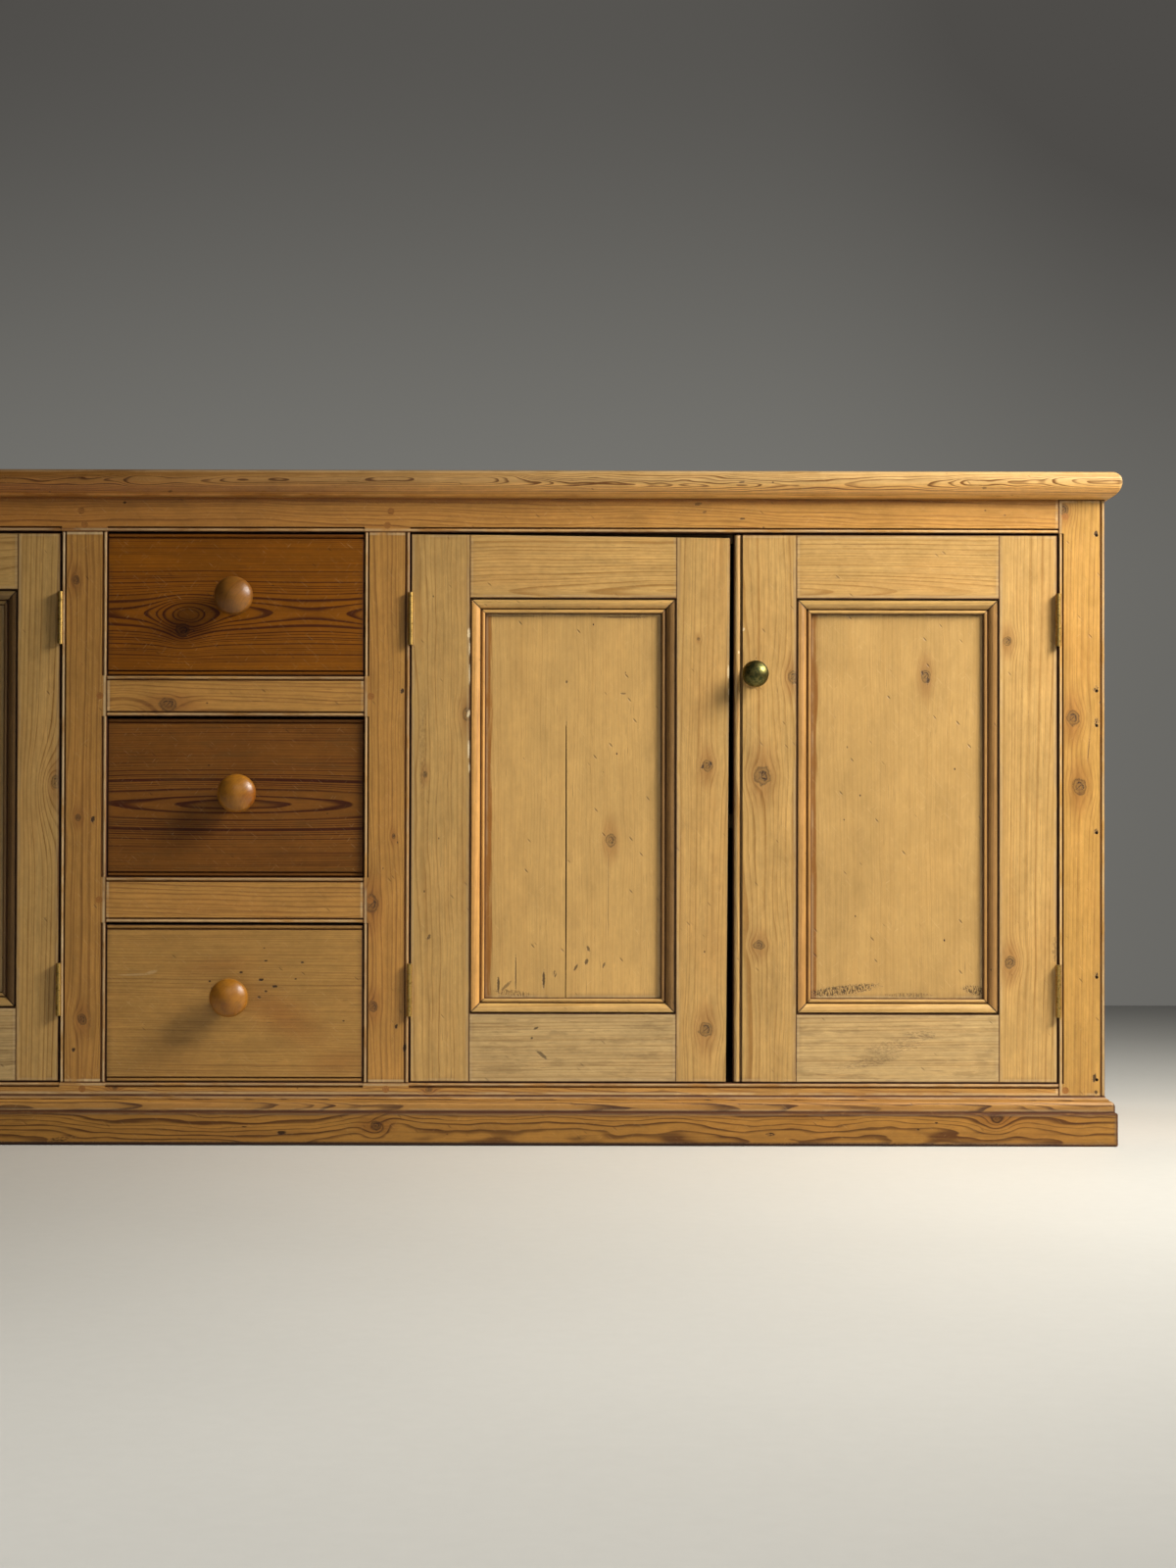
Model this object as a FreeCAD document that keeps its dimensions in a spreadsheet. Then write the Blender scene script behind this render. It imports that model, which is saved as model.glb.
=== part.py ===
import FreeCAD, Part
import math
import os
from types import SimpleNamespace

import Sketcher

# A long pine dresser base: two cupboards, each with a pair of panelled doors, and three drawers between.
# Millimetres, +Z up, the front looks along -Y, the origin is on the floor under the middle of the box.

SIZES = {
    # carcase
    "case_width": (2108.0, "width over the end boards"),
    "case_depth": (470.0, "from the frame's face to the back of the back boards"),
    "end_board_thick": (20.0, "thickness of the end boards"),
    "partition_thick": (18.0, "thickness of the partitions beside the drawers"),
    "floor_thick": (18.0, "thickness of the cupboard floor"),
    "floor_drop": (10.0, "floor surface below the bottom of the openings"),
    "shelf_height": (400.0, "shelf surface above the ground"),
    "shelf_thick": (18.0, "thickness of the shelves"),
    "shelf_setback": (70.0, "shelf front edge behind the frame"),
    "bearer_height": (24.0, "height of a shelf bearer"),
    "bearer_thick": (16.0, "thickness of a shelf bearer"),
    "back_thick": (12.0, "thickness of the back boards"),
    "back_clear": (12.0, "back boards above the ground"),
    "back_gap": (0.6, "open joint between two back boards"),
    "back_tongue": (6.0, "reach of a back board's tongue"),
    "back_tongue_thick": (4.0, "thickness of that tongue"),
    "back_groove_play": (0.5, "groove past the tongue on each face"),
    "back_rail_height": (60.0, "height of the rail under the worktop's back"),
    "back_rail_thick": (20.0, "thickness of that rail"),
    # worktop
    "nose_upper": (12.0, "upper radius of the worktop's nose"),
    "nose_flat": (1.5, "flat between the two radii of the nose"),
    "nose_lower": (19.5, "lower radius of the worktop's nose"),
    "top_overhang": (17.5, "worktop past the case at each end"),
    "top_front_overhang": (19.0, "worktop past the frame's face"),
    "front_board_width": (260.0, "width of the worktop's front board"),
    "top_tongue": (10.0, "reach of the tongue between the worktop's boards"),
    "top_tongue_thick": (9.0, "thickness of that tongue"),
    # face frame
    "frame_thick": (24.0, "thickness of the face frame"),
    "end_stile_width": (56.0, "width of an end stile"),
    "muntin_width": (55.0, "width of a muntin"),
    "bay_width": (312.0, "width of the drawer openings"),
    "opening_bottom": (74.0, "bottom of the openings above the ground"),
    "lower_opening": (193.0, "height of the lower drawer opening"),
    "lower_rail_height": (55.0, "height of the lower drawer rail"),
    "middle_opening": (195.0, "height of the middle drawer opening"),
    "upper_rail_height": (49.0, "height of the upper drawer rail"),
    "upper_opening": (175.0, "height of the upper drawer opening"),
    "top_rail_height": (41.0, "height of the top rail"),
    "bottom_rail_height": (54.0, "height of the bottom rail"),
    "tenon_thick": (8.0, "thickness of the frame's tenons"),
    "tenon_length": (28.0, "length of the frame's tenons"),
    "tenon_shoulder": (7.0, "shoulder at each edge of a tenon"),
    "bead_width": (4.2, "width of the scratched beads"),
    "quirk_width": (1.9, "width of the quirk beside a bead"),
    "bead_sink": (0.3, "crown of a bead below the face"),
    "peg_radius": (4.2, "radius of the pegs"),
    "peg_inset": (8.0, "pegs in from the joint's shoulder"),
    "peg_stagger": (17.0, "upper of two pegs above the lower one"),
    "nail_radius": (1.9, "radius of the nails"),
    "nail_length": (46.0, "length of the nails"),
    # plinth and base moulding
    "plinth_height": (40.0, "height of the plinth"),
    "plinth_thick": (13.0, "thickness of the plinth boards"),
    "plinth_round": (2.5, "rounded upper edge of the plinth"),
    "base_foot": (7.5, "upright lower edge of the base moulding"),
    "base_ovolo": (6.0, "radius of the moulding's ovolo"),
    "base_fillet": (1.5, "upright fillet over the ovolo"),
    "base_cove": (4.0, "radius of the moulding's cove"),
    # doors
    "door_thick": (22.0, "thickness of the doors"),
    "door_setback": (1.0, "doors behind the frame's face"),
    "door_gap": (2.0, "gap between a hinge stile and the frame"),
    "door_top_gap": (2.5, "gap over the doors"),
    "door_bottom_gap": (1.5, "gap under the doors"),
    "meeting_gap": (4.5, "gap between two doors of a pair"),
    "inner_door_width": (386.5, "width of the doors beside the drawers"),
    "door_tenon": (38.0, "length of the door rails' tenons"),
    "door_tenon_thick": (7.0, "thickness of the door rails' tenons"),
    "door_tenon_shoulder": (14.0, "shoulder at each edge of a door tenon"),
    "panel_thick": (8.0, "thickness of the door panels"),
    "panel_setback": (10.5, "panel behind the door's face"),
    "groove_depth": (9.0, "depth of the panel grooves"),
    "panel_play": (1.0, "panel short of the bottom of its groove"),
    "groove_play": (0.2, "groove wider than the panel"),
    "droop_side": (4.8, "taper of the worn door's meeting edge"),
    "droop_top": (4.0, "taper of the worn door's top edge"),
    "meeting_bead": (8.3, "width of the bead on the meeting stile"),
    "meeting_quirk": (2.6, "width of the quirk beside that bead"),
    "split_width": (0.9, "width of the shrinkage split in one panel"),
    "split_length": (350.0, "length of that split"),
    "split_inset": (116.0, "split in from the panel's hinge side"),
    # panel moulding
    "mould_quirk": (2.4, "gap between the moulding's crown and the frame"),
    "mould_quirk_foot": (4.0, "moulding's foot in that gap above the panel"),
    "mould_crown": (9.2, "height of the moulding's crown over the panel"),
    "mould_crown_width": (1.6, "flat crown of the moulding"),
    "mould_ovolo": (8.2, "width of the moulding's falling round"),
    "mould_ovolo_drop": (4.6, "drop of that round"),
    "mould_ovolo_radius": (9.5, "radius of that round"),
    "mould_groove": (1.4, "width of the groove inside the round"),
    "mould_groove_depth": (1.5, "depth of that groove"),
    "mould_bead": (4.4, "width of the moulding's inner bead"),
    # hinges
    "hinge_length": (63.5, "length of a butt hinge"),
    "hinge_leaf_width": (17.0, "leaf into the thickness of the door"),
    "hinge_leaf_thick": (2.0, "thickness of a leaf"),
    "hinge_leaf_gap": (0.4, "gap between the closed leaves"),
    "hinge_proud": (3.8, "hinge axis in front of the frame's face"),
    "knuckle_radius": (3.3, "radius of a knuckle"),
    "knuckle_play": (0.35, "clearance beside and between the knuckles"),
    "pin_radius": (1.5, "radius of a hinge pin"),
    "pin_play": (0.35, "running clearance of a pin in the door's knuckles"),
    "pin_fit": (0.05, "clearance of a pin in the frame's knuckles"),
    "upper_hinge_inset": (71.0, "upper hinge below the door's top"),
    "lower_hinge_inset": (79.0, "lower hinge above the door's bottom"),
    "screw_head": (3.2, "radius of a hinge screw's head"),
    "screw_tip": (0.8, "radius of a hinge screw's tip"),
    "screw_length": (15.0, "length of a hinge screw"),
    # drawers
    "drawer_gap": (1.4, "gap beside a drawer"),
    "drawer_top_gap": (2.8, "gap over a drawer front"),
    "drawer_bottom_gap": (0.8, "gap under a drawer front"),
    "drawer_lift": (0.3, "drawer sides over their runners"),
    "drawer_setback": (0.8, "upper and lower drawer behind the frame's face"),
    "middle_setback": (5.0, "middle drawer behind the frame's face"),
    "drawer_front_thick": (21.0, "thickness of a drawer front"),
    "drawer_length": (425.0, "drawer from front to back"),
    "drawer_side_thick": (12.0, "thickness of a drawer side"),
    "drawer_side_drop": (10.0, "drawer side below the top of its front"),
    "drawer_back_thick": (12.0, "thickness of a drawer back"),
    "drawer_back_inset": (10.0, "drawer back in from the ends of the sides"),
    "drawer_bottom_thick": (8.0, "thickness of a drawer bottom"),
    "drawer_bottom_rise": (10.0, "drawer bottom above the sides' lower edge"),
    "drawer_housing": (5.0, "depth of the housings for back and bottom"),
    "tail_length": (14.0, "length of the dovetails"),
    "tail_slope": (3.0, "flare of a dovetail at each edge"),
    "dovetail_pin": (17.0, "width of a pin between two dovetails"),
    "runner_width": (30.0, "width of a drawer runner"),
    "runner_thick": (20.0, "height of the upper runners"),
    "guide_thick": (10.0, "thickness of a drawer guide"),
    "guide_height": (22.0, "height of a drawer guide"),
    "stop_play": (0.4, "drawer back in front of its stops"),
    "stop_height": (14.0, "height of a drawer stop"),
    # drawer knobs
    "knob_radius": (23.2, "radius of a drawer knob"),
    "knob_face_radius": (30.0, "radius of the knob's crowned face"),
    "knob_edge_radius": (9.0, "radius of the knob's rounded edge"),
    "knob_rim": (3.5, "upright rim of the knob"),
    "knob_flare": (8.0, "length of the knob's flare"),
    "knob_neck": (12.0, "length of the knob's neck"),
    "knob_neck_radius": (11.5, "radius of the knob's neck"),
    "knob_spigot": (15.0, "length of the knob's spigot"),
    "knob_spigot_radius": (8.5, "radius of the knob's spigot"),
    # brass turn knobs
    "turn_inset": (25.0, "brass knob in from the door's meeting edge"),
    "turn_height": (569.0, "brass knob above the ground"),
    "turn_radius": (16.2, "radius of the brass knob"),
    "turn_face_radius": (19.5, "radius of its domed face"),
    "turn_edge_radius": (7.0, "radius of its rounded edge"),
    "turn_rim": (2.0, "upright rim of the brass knob"),
    "turn_flare": (4.0, "length of its flare"),
    "turn_neck": (9.0, "length of its neck"),
    "turn_neck_radius": (6.5, "radius of its neck"),
    "spindle_radius": (4.0, "radius of the spindle"),
    "spindle_play": (0.4, "running clearance of the spindle"),
    "rose_radius": (14.5, "radius of the rose on the door"),
    "rose_thick": (2.2, "thickness of the rose"),
    "rose_gap": (0.4, "gap between the rose and the knob's neck"),
    "tongue_length": (52.0, "reach of the catch's tongue from the spindle"),
    "tongue_width": (15.0, "width of the tongue"),
    "tongue_thick": (3.0, "thickness of the tongue"),
    "tongue_gap": (1.0, "tongue behind the doors"),
    # door stops
    "door_stop_height": (36.0, "height of a door stop"),
    "door_stop_thick": (12.0, "thickness of a door stop"),
    "door_stop_drop": (10.0, "door stop below the top of the opening"),
    "door_stop_inset": (40.0, "door stop short of the opening's sides"),
}

# Stile and rail widths of each pair of doors: the pair on the left is older and more slender.
DOOR_WIDTHS = {
    "right": {
        "inner_hinge_stile": 71.0,
        "inner_meeting_stile": 65.0,
        "outer_hinge_stile": 70.0,
        "outer_meeting_stile": 76.0,
        "top_rail": 77.0,
        "bottom_rail": 82.0,
    },
    "left": {
        "inner_hinge_stile": 51.0,
        "inner_meeting_stile": 54.0,
        "outer_hinge_stile": 52.0,
        "outer_meeting_stile": 62.0,
        "top_rail": 68.0,
        "bottom_rail": 88.0,
    },
}

# How far each drawer knob sits from the middle of its drawer front, across and up.
KNOB_SHIFT = {"upper": (0.0, 9.0), "middle": (4.0, 5.0), "lower": (-4.0, 8.0)}

NAIL_HEIGHTS = (739.0, 550.0, 508.0, 378.0, 203.0, 79.0)
BACK_BOARD_COUNT = 12
TAIL_COUNT = 3
KNUCKLE_COUNT = 5
SCREWS_PER_LEAF = 3
CUT_OVER = 1.0

X = FreeCAD.Vector(1, 0, 0)
Y = FreeCAD.Vector(0, 1, 0)
Z = FreeCAD.Vector(0, 0, 1)

doc = FreeCAD.newDocument("pine_dresser_base")
sheet = doc.addObject("Spreadsheet::Sheet", "sizes")
NODES = {}


class Size:
    """A length: its number gives the first drawing, and its formula on the sheet drives the piece."""

    def __init__(self, number, text):
        self.number = number
        self.text = text

    def __add__(self, other):
        return Size(self.number + number_of(other), f"({self.text} + {text_of(other)})")

    def __radd__(self, other):
        return Size(number_of(other) + self.number, f"({text_of(other)} + {self.text})")

    def __sub__(self, other):
        return Size(self.number - number_of(other), f"({self.text} - {text_of(other)})")

    def __rsub__(self, other):
        return Size(number_of(other) - self.number, f"({text_of(other)} - {self.text})")

    def __mul__(self, other):
        return Size(self.number * number_of(other), f"({self.text} * {text_of(other)})")

    def __rmul__(self, other):
        return Size(number_of(other) * self.number, f"({text_of(other)} * {self.text})")

    def __truediv__(self, other):
        return Size(self.number / number_of(other), f"({self.text} / {text_of(other)})")

    def __neg__(self):
        return Size(-self.number, f"(0 - {self.text})")


def number_of(value):
    return value.number if isinstance(value, Size) else float(value)


def text_of(value):
    return value.text if isinstance(value, Size) else f"({float(value)})"


def root(value):
    return Size(math.sqrt(value.number), f"sqrt({value.text})")


def write_sizes():
    """Every driving dimension in a cell of the sheet, with its meaning beside it."""
    rows = dict(SIZES)
    for side, widths in DOOR_WIDTHS.items():
        for name, value in widths.items():
            rows[f"{side}_{name}"] = (value, f"width of the {side} doors' {name.replace('_', ' ')}")
    for name, (across, up) in KNOB_SHIFT.items():
        rows[f"{name}_knob_across"] = (across, f"{name} drawer knob across from the middle")
        rows[f"{name}_knob_up"] = (up, f"{name} drawer knob up from the middle")
    for row, (name, (value, note)) in enumerate(rows.items(), start=1):
        sheet.set(f"A{row}", note)
        sheet.set(f"B{row}", str(value))
        sheet.setAlias(f"B{row}", name)
    return SimpleNamespace(**{name: Size(value, f"sizes.{name}") for name, (value, _) in rows.items()})


def place(piece, origin, x_axis=X, y_axis=Y):
    """The piece's own axes turned to x_axis and y_axis, and its origin moved to a point of formulas."""
    turn = FreeCAD.Rotation(x_axis, y_axis, x_axis.cross(y_axis), "XYZ")
    piece.Placement = FreeCAD.Placement(FreeCAD.Vector(), turn)
    for axis, value in zip("xyz", origin):
        piece.setExpression(f"Placement.Base.{axis}", text_of(value))
    return piece


def moved(origin, *steps):
    """A point shifted by pairs of a direction and a distance."""
    point = list(origin)
    for direction, distance in steps:
        for index, part in enumerate(direction):
            if part:
                point[index] = point[index] + (distance if part > 0 else -distance)
    return tuple(point)


def span(side, near, far):
    """A stretch across the case, near and far from its middle, on the right or mirrored to the left."""
    return (near, far) if side > 0 else (-far, -near)


def box(name, x_span, y_span, z_span):
    piece = doc.addObject("Part::Box", name)
    for prop, (low, high) in zip(("Length", "Width", "Height"), (x_span, y_span, z_span)):
        piece.setExpression(prop, f"{text_of(high)} - {text_of(low)}")
    return place(piece, (x_span[0], y_span[0], z_span[0]))


def cylinder(name, radius, length, origin, axis):
    piece = doc.addObject("Part::Cylinder", name)
    piece.setExpression("Radius", text_of(radius))
    piece.setExpression("Height", text_of(length))
    x_axis = X if abs(axis.x) < 1 else Y
    return place(piece, origin, x_axis, axis.cross(x_axis))


def cone(name, wide, narrow, length, origin, axis):
    piece = doc.addObject("Part::Cone", name)
    piece.setExpression("Radius1", text_of(wide))
    piece.setExpression("Radius2", text_of(narrow))
    piece.setExpression("Height", text_of(length))
    x_axis = X if abs(axis.x) < 1 else Y
    return place(piece, origin, x_axis, axis.cross(x_axis))


def group(name, pieces):
    piece = doc.addObject("Part::Compound", name)
    piece.Links = list(pieces)
    return piece


def cut(base, *tools):
    """base less each tool in turn; a list among the tools is pieces that lie apart, cut in one go."""
    for tool in tools:
        piece = doc.addObject("Part::Cut", base.Name + "_cut")
        piece.Base = base
        piece.Tool = group(base.Name + "_tools", tool) if isinstance(tool, list) else tool
        base = piece
    return base


def fuse(name, pieces):
    piece = doc.addObject("Part::MultiFuse", name)
    piece.Shapes = list(pieces)
    return piece


def common(name, first, second):
    piece = doc.addObject("Part::MultiCommon", name)
    piece.Shapes = [first, second]
    return piece


def node(label, piece):
    """The finished sub-part under its own name."""
    piece.Label = label
    NODES[label] = piece
    return piece


def arc_between(start, end, radius, turn):
    """The short arc from start to end; turn is 1 against the clock and -1 with it."""
    run = end - start
    half = run.Length / 2
    away = FreeCAD.Vector(-run.y, run.x, 0).normalize() * turn
    centre = (start + end) / 2 + away * math.sqrt(max(radius * radius - half * half, 0))
    first, last = (start, end) if turn > 0 else (end, start)
    angles = [math.atan2(point.y - centre.y, point.x - centre.x) for point in (first, last)]
    if angles[1] < angles[0]:
        angles[1] += 2 * math.pi
    return Part.ArcOfCircle(Part.Circle(centre, Z, radius), *angles)


def outline(body, corners):
    """A closed sketch on the body's own XY plane. A corner is (x, y), or (x, y, radius, turn) where an arc
    leaves it."""
    plane = next(f for f in body.Origin.OriginFeatures if f.Role == "XY_Plane")
    sketch = body.newObject("Sketcher::SketchObject", body.Name + "_outline")
    sketch.AttachmentSupport = [(plane, "")]
    sketch.MapMode = "FlatFace"
    points = [FreeCAD.Vector(number_of(corner[0]), number_of(corner[1]), 0) for corner in corners]
    ends = []
    for index, corner in enumerate(corners):
        start, end = points[index], points[(index + 1) % len(points)]
        if len(corner) > 2:
            sketch.addGeometry(arc_between(start, end, number_of(corner[2]), corner[3]), False)
            ends.append((1, 2) if corner[3] > 0 else (2, 1))
        else:
            sketch.addGeometry(Part.LineSegment(start, end), False)
            ends.append((1, 2))
    for index, corner in enumerate(corners):
        before = (index - 1) % len(corners)
        here = ends[index][0]
        sketch.addConstraint(Sketcher.Constraint("Coincident", before, ends[before][1], index, here))
        for kind, axis, value in (("DistanceX", -2, corner[0]), ("DistanceY", -1, corner[1])):
            if isinstance(value, Size):
                number = number_of(value)
                row = sketch.addConstraint(Sketcher.Constraint(kind, -1, 1, index, here, number))
                sketch.setExpression(f"Constraints[{row}]", text_of(value))
            else:
                sketch.addConstraint(Sketcher.Constraint("PointOnObject", index, here, axis))
        if len(corner) > 2:
            row = sketch.addConstraint(Sketcher.Constraint("Radius", index, number_of(corner[2])))
            sketch.setExpression(f"Constraints[{row}]", text_of(corner[2]))
    return sketch


def extruded(name, corners, length, origin, x_axis, y_axis):
    """An outline drawn on x_axis and y_axis, padded square to them."""
    body = doc.addObject("PartDesign::Body", name)
    sketch = outline(body, corners)
    pad = body.newObject("PartDesign::Pad", name + "_pad")
    pad.Profile = sketch
    pad.setExpression("Length", text_of(length))
    return place(body, origin, x_axis, y_axis)


def turned(name, corners, origin, x_axis, y_axis):
    """A half outline of radius and length, turned on its y_axis."""
    body = doc.addObject("PartDesign::Body", name)
    sketch = outline(body, corners)
    lathe = body.newObject("PartDesign::Revolution", name + "_turning")
    lathe.Profile = sketch
    lathe.ReferenceAxis = (sketch, ["V_Axis"])
    lathe.Angle = 360
    return place(body, origin, x_axis, y_axis)


def mitred_strip(name, profile, length, depth, height, corner, along, inward, ends):
    """A moulded strip from a corner: profile is drawn inward and up, and each end is an inside mitre, an
    outside mitre or square."""
    up = along.cross(inward)
    strip = extruded(name + "_run", profile, length, corner, inward, up)
    start, end = ends
    plan = [
        (depth if start == "outside" else 0, 0),
        (length - depth if end == "outside" else length, 0),
        (length - depth if end == "inside" else length, depth),
        (depth if start == "inside" else 0, depth),
    ]
    return common(name, strip, extruded(name + "_plan", plan, height, corner, along, inward))


def bead(name, corner, along, inward, length, width, quirk):
    """What a scratch stock takes away to leave a bead on an edge; inward leads from the edge into the
    board, and the board's face looks along -Y."""
    depth = width / 2 + s.bead_sink
    out = -Y
    waste = doc.addObject("Part::Box", name + "_waste")
    waste.setExpression("Length", text_of(length))
    waste.setExpression("Width", f"{text_of(width + quirk)} + {CUT_OVER}")
    waste.setExpression("Height", f"{text_of(depth)} + {CUT_OVER}")
    right_handed = along.cross(inward).dot(out) > 0
    start = corner if right_handed else moved(corner, (along, length))
    run = along if right_handed else -along
    place(waste, moved(start, (inward, -CUT_OVER), (out, -depth)), run, inward)
    core = cylinder(name + "_core", width / 2, length, moved(start, (inward, width / 2), (out, -depth)), run)
    return cut(waste, core)


def rounding(name, corner, along, inward, down, radius, length):
    """What rounds a square edge over: corner lies on the edge, and inward and down lead into the board."""
    block = doc.addObject("Part::Box", name + "_waste")
    block.setExpression("Length", text_of(length + 2 * CUT_OVER))
    block.setExpression("Width", text_of(radius + CUT_OVER))
    block.setExpression("Height", text_of(radius + CUT_OVER))
    right_handed = along.cross(inward).dot(down) > 0
    begin = moved(corner, (along, -CUT_OVER))
    if not right_handed:
        begin = moved(corner, (along, length + CUT_OVER))
        along = -along
    place(block, moved(begin, (inward, -CUT_OVER), (down, -CUT_OVER)), along, inward)
    axis = moved(begin, (inward, radius), (down, radius))
    return cut(block, cylinder(name + "_core", radius, length + 2 * CUT_OVER, axis, along))


s = write_sizes()

# Levels and planes that the pieces share
half = s.case_width / 2
half_bay = s.bay_width / 2
head_centre = s.knob_face_radius - s.knob_edge_radius
knob_shoulder = s.knob_radius - s.knob_edge_radius
knob_sink = root(head_centre * head_centre - knob_shoulder * knob_shoulder)
knob_dome = s.knob_face_radius - knob_sink
knob_reach = s.knob_neck + s.knob_flare + s.knob_rim + knob_dome
face = (knob_reach - s.drawer_setback - s.case_depth) / 2
frame_back = face + s.frame_thick
back = face + s.case_depth
back_front = back - s.back_thick
lower_top = s.opening_bottom + s.lower_opening
middle_bottom = lower_top + s.lower_rail_height
middle_top = middle_bottom + s.middle_opening
upper_bottom = middle_top + s.upper_rail_height
opening_top = upper_bottom + s.upper_opening
case_top = opening_top + s.top_rail_height
top_thick = s.nose_upper + s.nose_flat + s.nose_lower
bottom_rail_low = s.opening_bottom - s.bottom_rail_height
floor_top = s.opening_bottom - s.floor_drop
muntin_outer = half_bay + s.muntin_width
stile_inner = half - s.end_stile_width
end_inner = half - s.end_board_thick
partition_inner = half_bay + s.guide_thick
partition_outer = partition_inner + s.partition_thick
base_projection = s.base_cove + s.base_ovolo
base_height = s.base_foot + s.base_ovolo + s.base_fillet + s.base_cove
base_top = s.plinth_height + base_height
tenon_y = (
    face + (s.frame_thick - s.tenon_thick) / 2,
    face + (s.frame_thick + s.tenon_thick) / 2,
)
frame_y = (face, frame_back)

SIDES = {"right": 1, "left": -1}
DRAWERS = {
    "upper": (upper_bottom, opening_top, s.drawer_setback),
    "middle": (middle_bottom, middle_top, s.middle_setback),
    "lower": (s.opening_bottom, lower_top, s.drawer_setback),
}


def make_worktop():
    """Two boards, tongued together, with a full nose along the front and both ends."""
    left, right = -half - s.top_overhang, half + s.top_overhang
    length = right - left
    front, middle = face - s.top_front_overhang, face - s.top_front_overhang + s.front_board_width
    top = case_top + top_thick
    tongue_low = case_top + (top_thick - s.top_tongue_thick) / 2
    levels = (case_top, top)
    depth = back - front

    def nose(name, corner, along, inward, run):
        upper = rounding(name + "_upper", moved(corner, (Z, top_thick)), along, inward, -Z, s.nose_upper, run)
        lower = rounding(name + "_lower", corner, along, inward, Z, s.nose_lower, run)
        return [upper, lower]

    front_nose = nose("front_nose", (left, front, case_top), X, Y, length)
    left_nose = nose("left_nose", (left, front, case_top), Y, X, depth)
    right_nose = nose("right_nose", (right, front, case_top), Y, -X, depth)
    ends = [*left_nose, *right_nose]
    tongue = box(
        "worktop_tongue",
        (left + s.nose_lower, right - s.nose_lower),
        (middle - s.top_tongue, middle + s.top_tongue),
        (tongue_low, tongue_low + s.top_tongue_thick),
    )
    back_board = fuse("worktop_back", [box("worktop_back_plank", (left, right), (middle, back), levels), tongue])
    back_board = node("worktop_back_board", cut(back_board, ends))
    front_board = box("worktop_front_plank", (left, right), (front, middle), levels)
    node("worktop_front_board", cut(front_board, front_nose, ends, back_board))


def make_pegs():
    """Riven pegs through the frame's joints, flush with its face."""
    spots = []
    for side in SIDES.values():
        stile_x = stile_inner + s.peg_inset
        muntin_x = half_bay + s.muntin_width / 2
        spots.append((stile_x * side, opening_top + s.top_rail_height / 2))
        spots.append((stile_x * side, s.opening_bottom - s.peg_inset))
        spots.append((muntin_x * side, opening_top + s.peg_inset))
        spots.append(((muntin_x + s.peg_radius) * side, opening_top + s.peg_inset + s.peg_stagger))
        spots.append((muntin_x * side, s.opening_bottom - s.peg_inset))
        spots.append(((half_bay + s.peg_inset) * side, (lower_top + middle_bottom) / 2))
        spots.append(((half_bay + s.peg_inset) * side, (middle_top + upper_bottom) / 2))
    return [
        cylinder(f"peg_{index}", s.peg_radius, s.frame_thick, (x, face, z), Y)
        for index, (x, z) in enumerate(spots)
    ]


def make_nails():
    """Nails through each end stile into the edge of the end board behind it."""
    spots = [((half - s.end_board_thick / 2) * side, z) for side in SIDES.values() for z in NAIL_HEIGHTS]
    return [
        cylinder(f"nail_{index}", s.nail_radius, s.nail_length, (x, face, z), Y)
        for index, (x, z) in enumerate(spots)
    ]


def edge_bead(name, corner, along, inward, length):
    return bead(name, corner, along, inward, length, s.bead_width, s.quirk_width)


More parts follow.
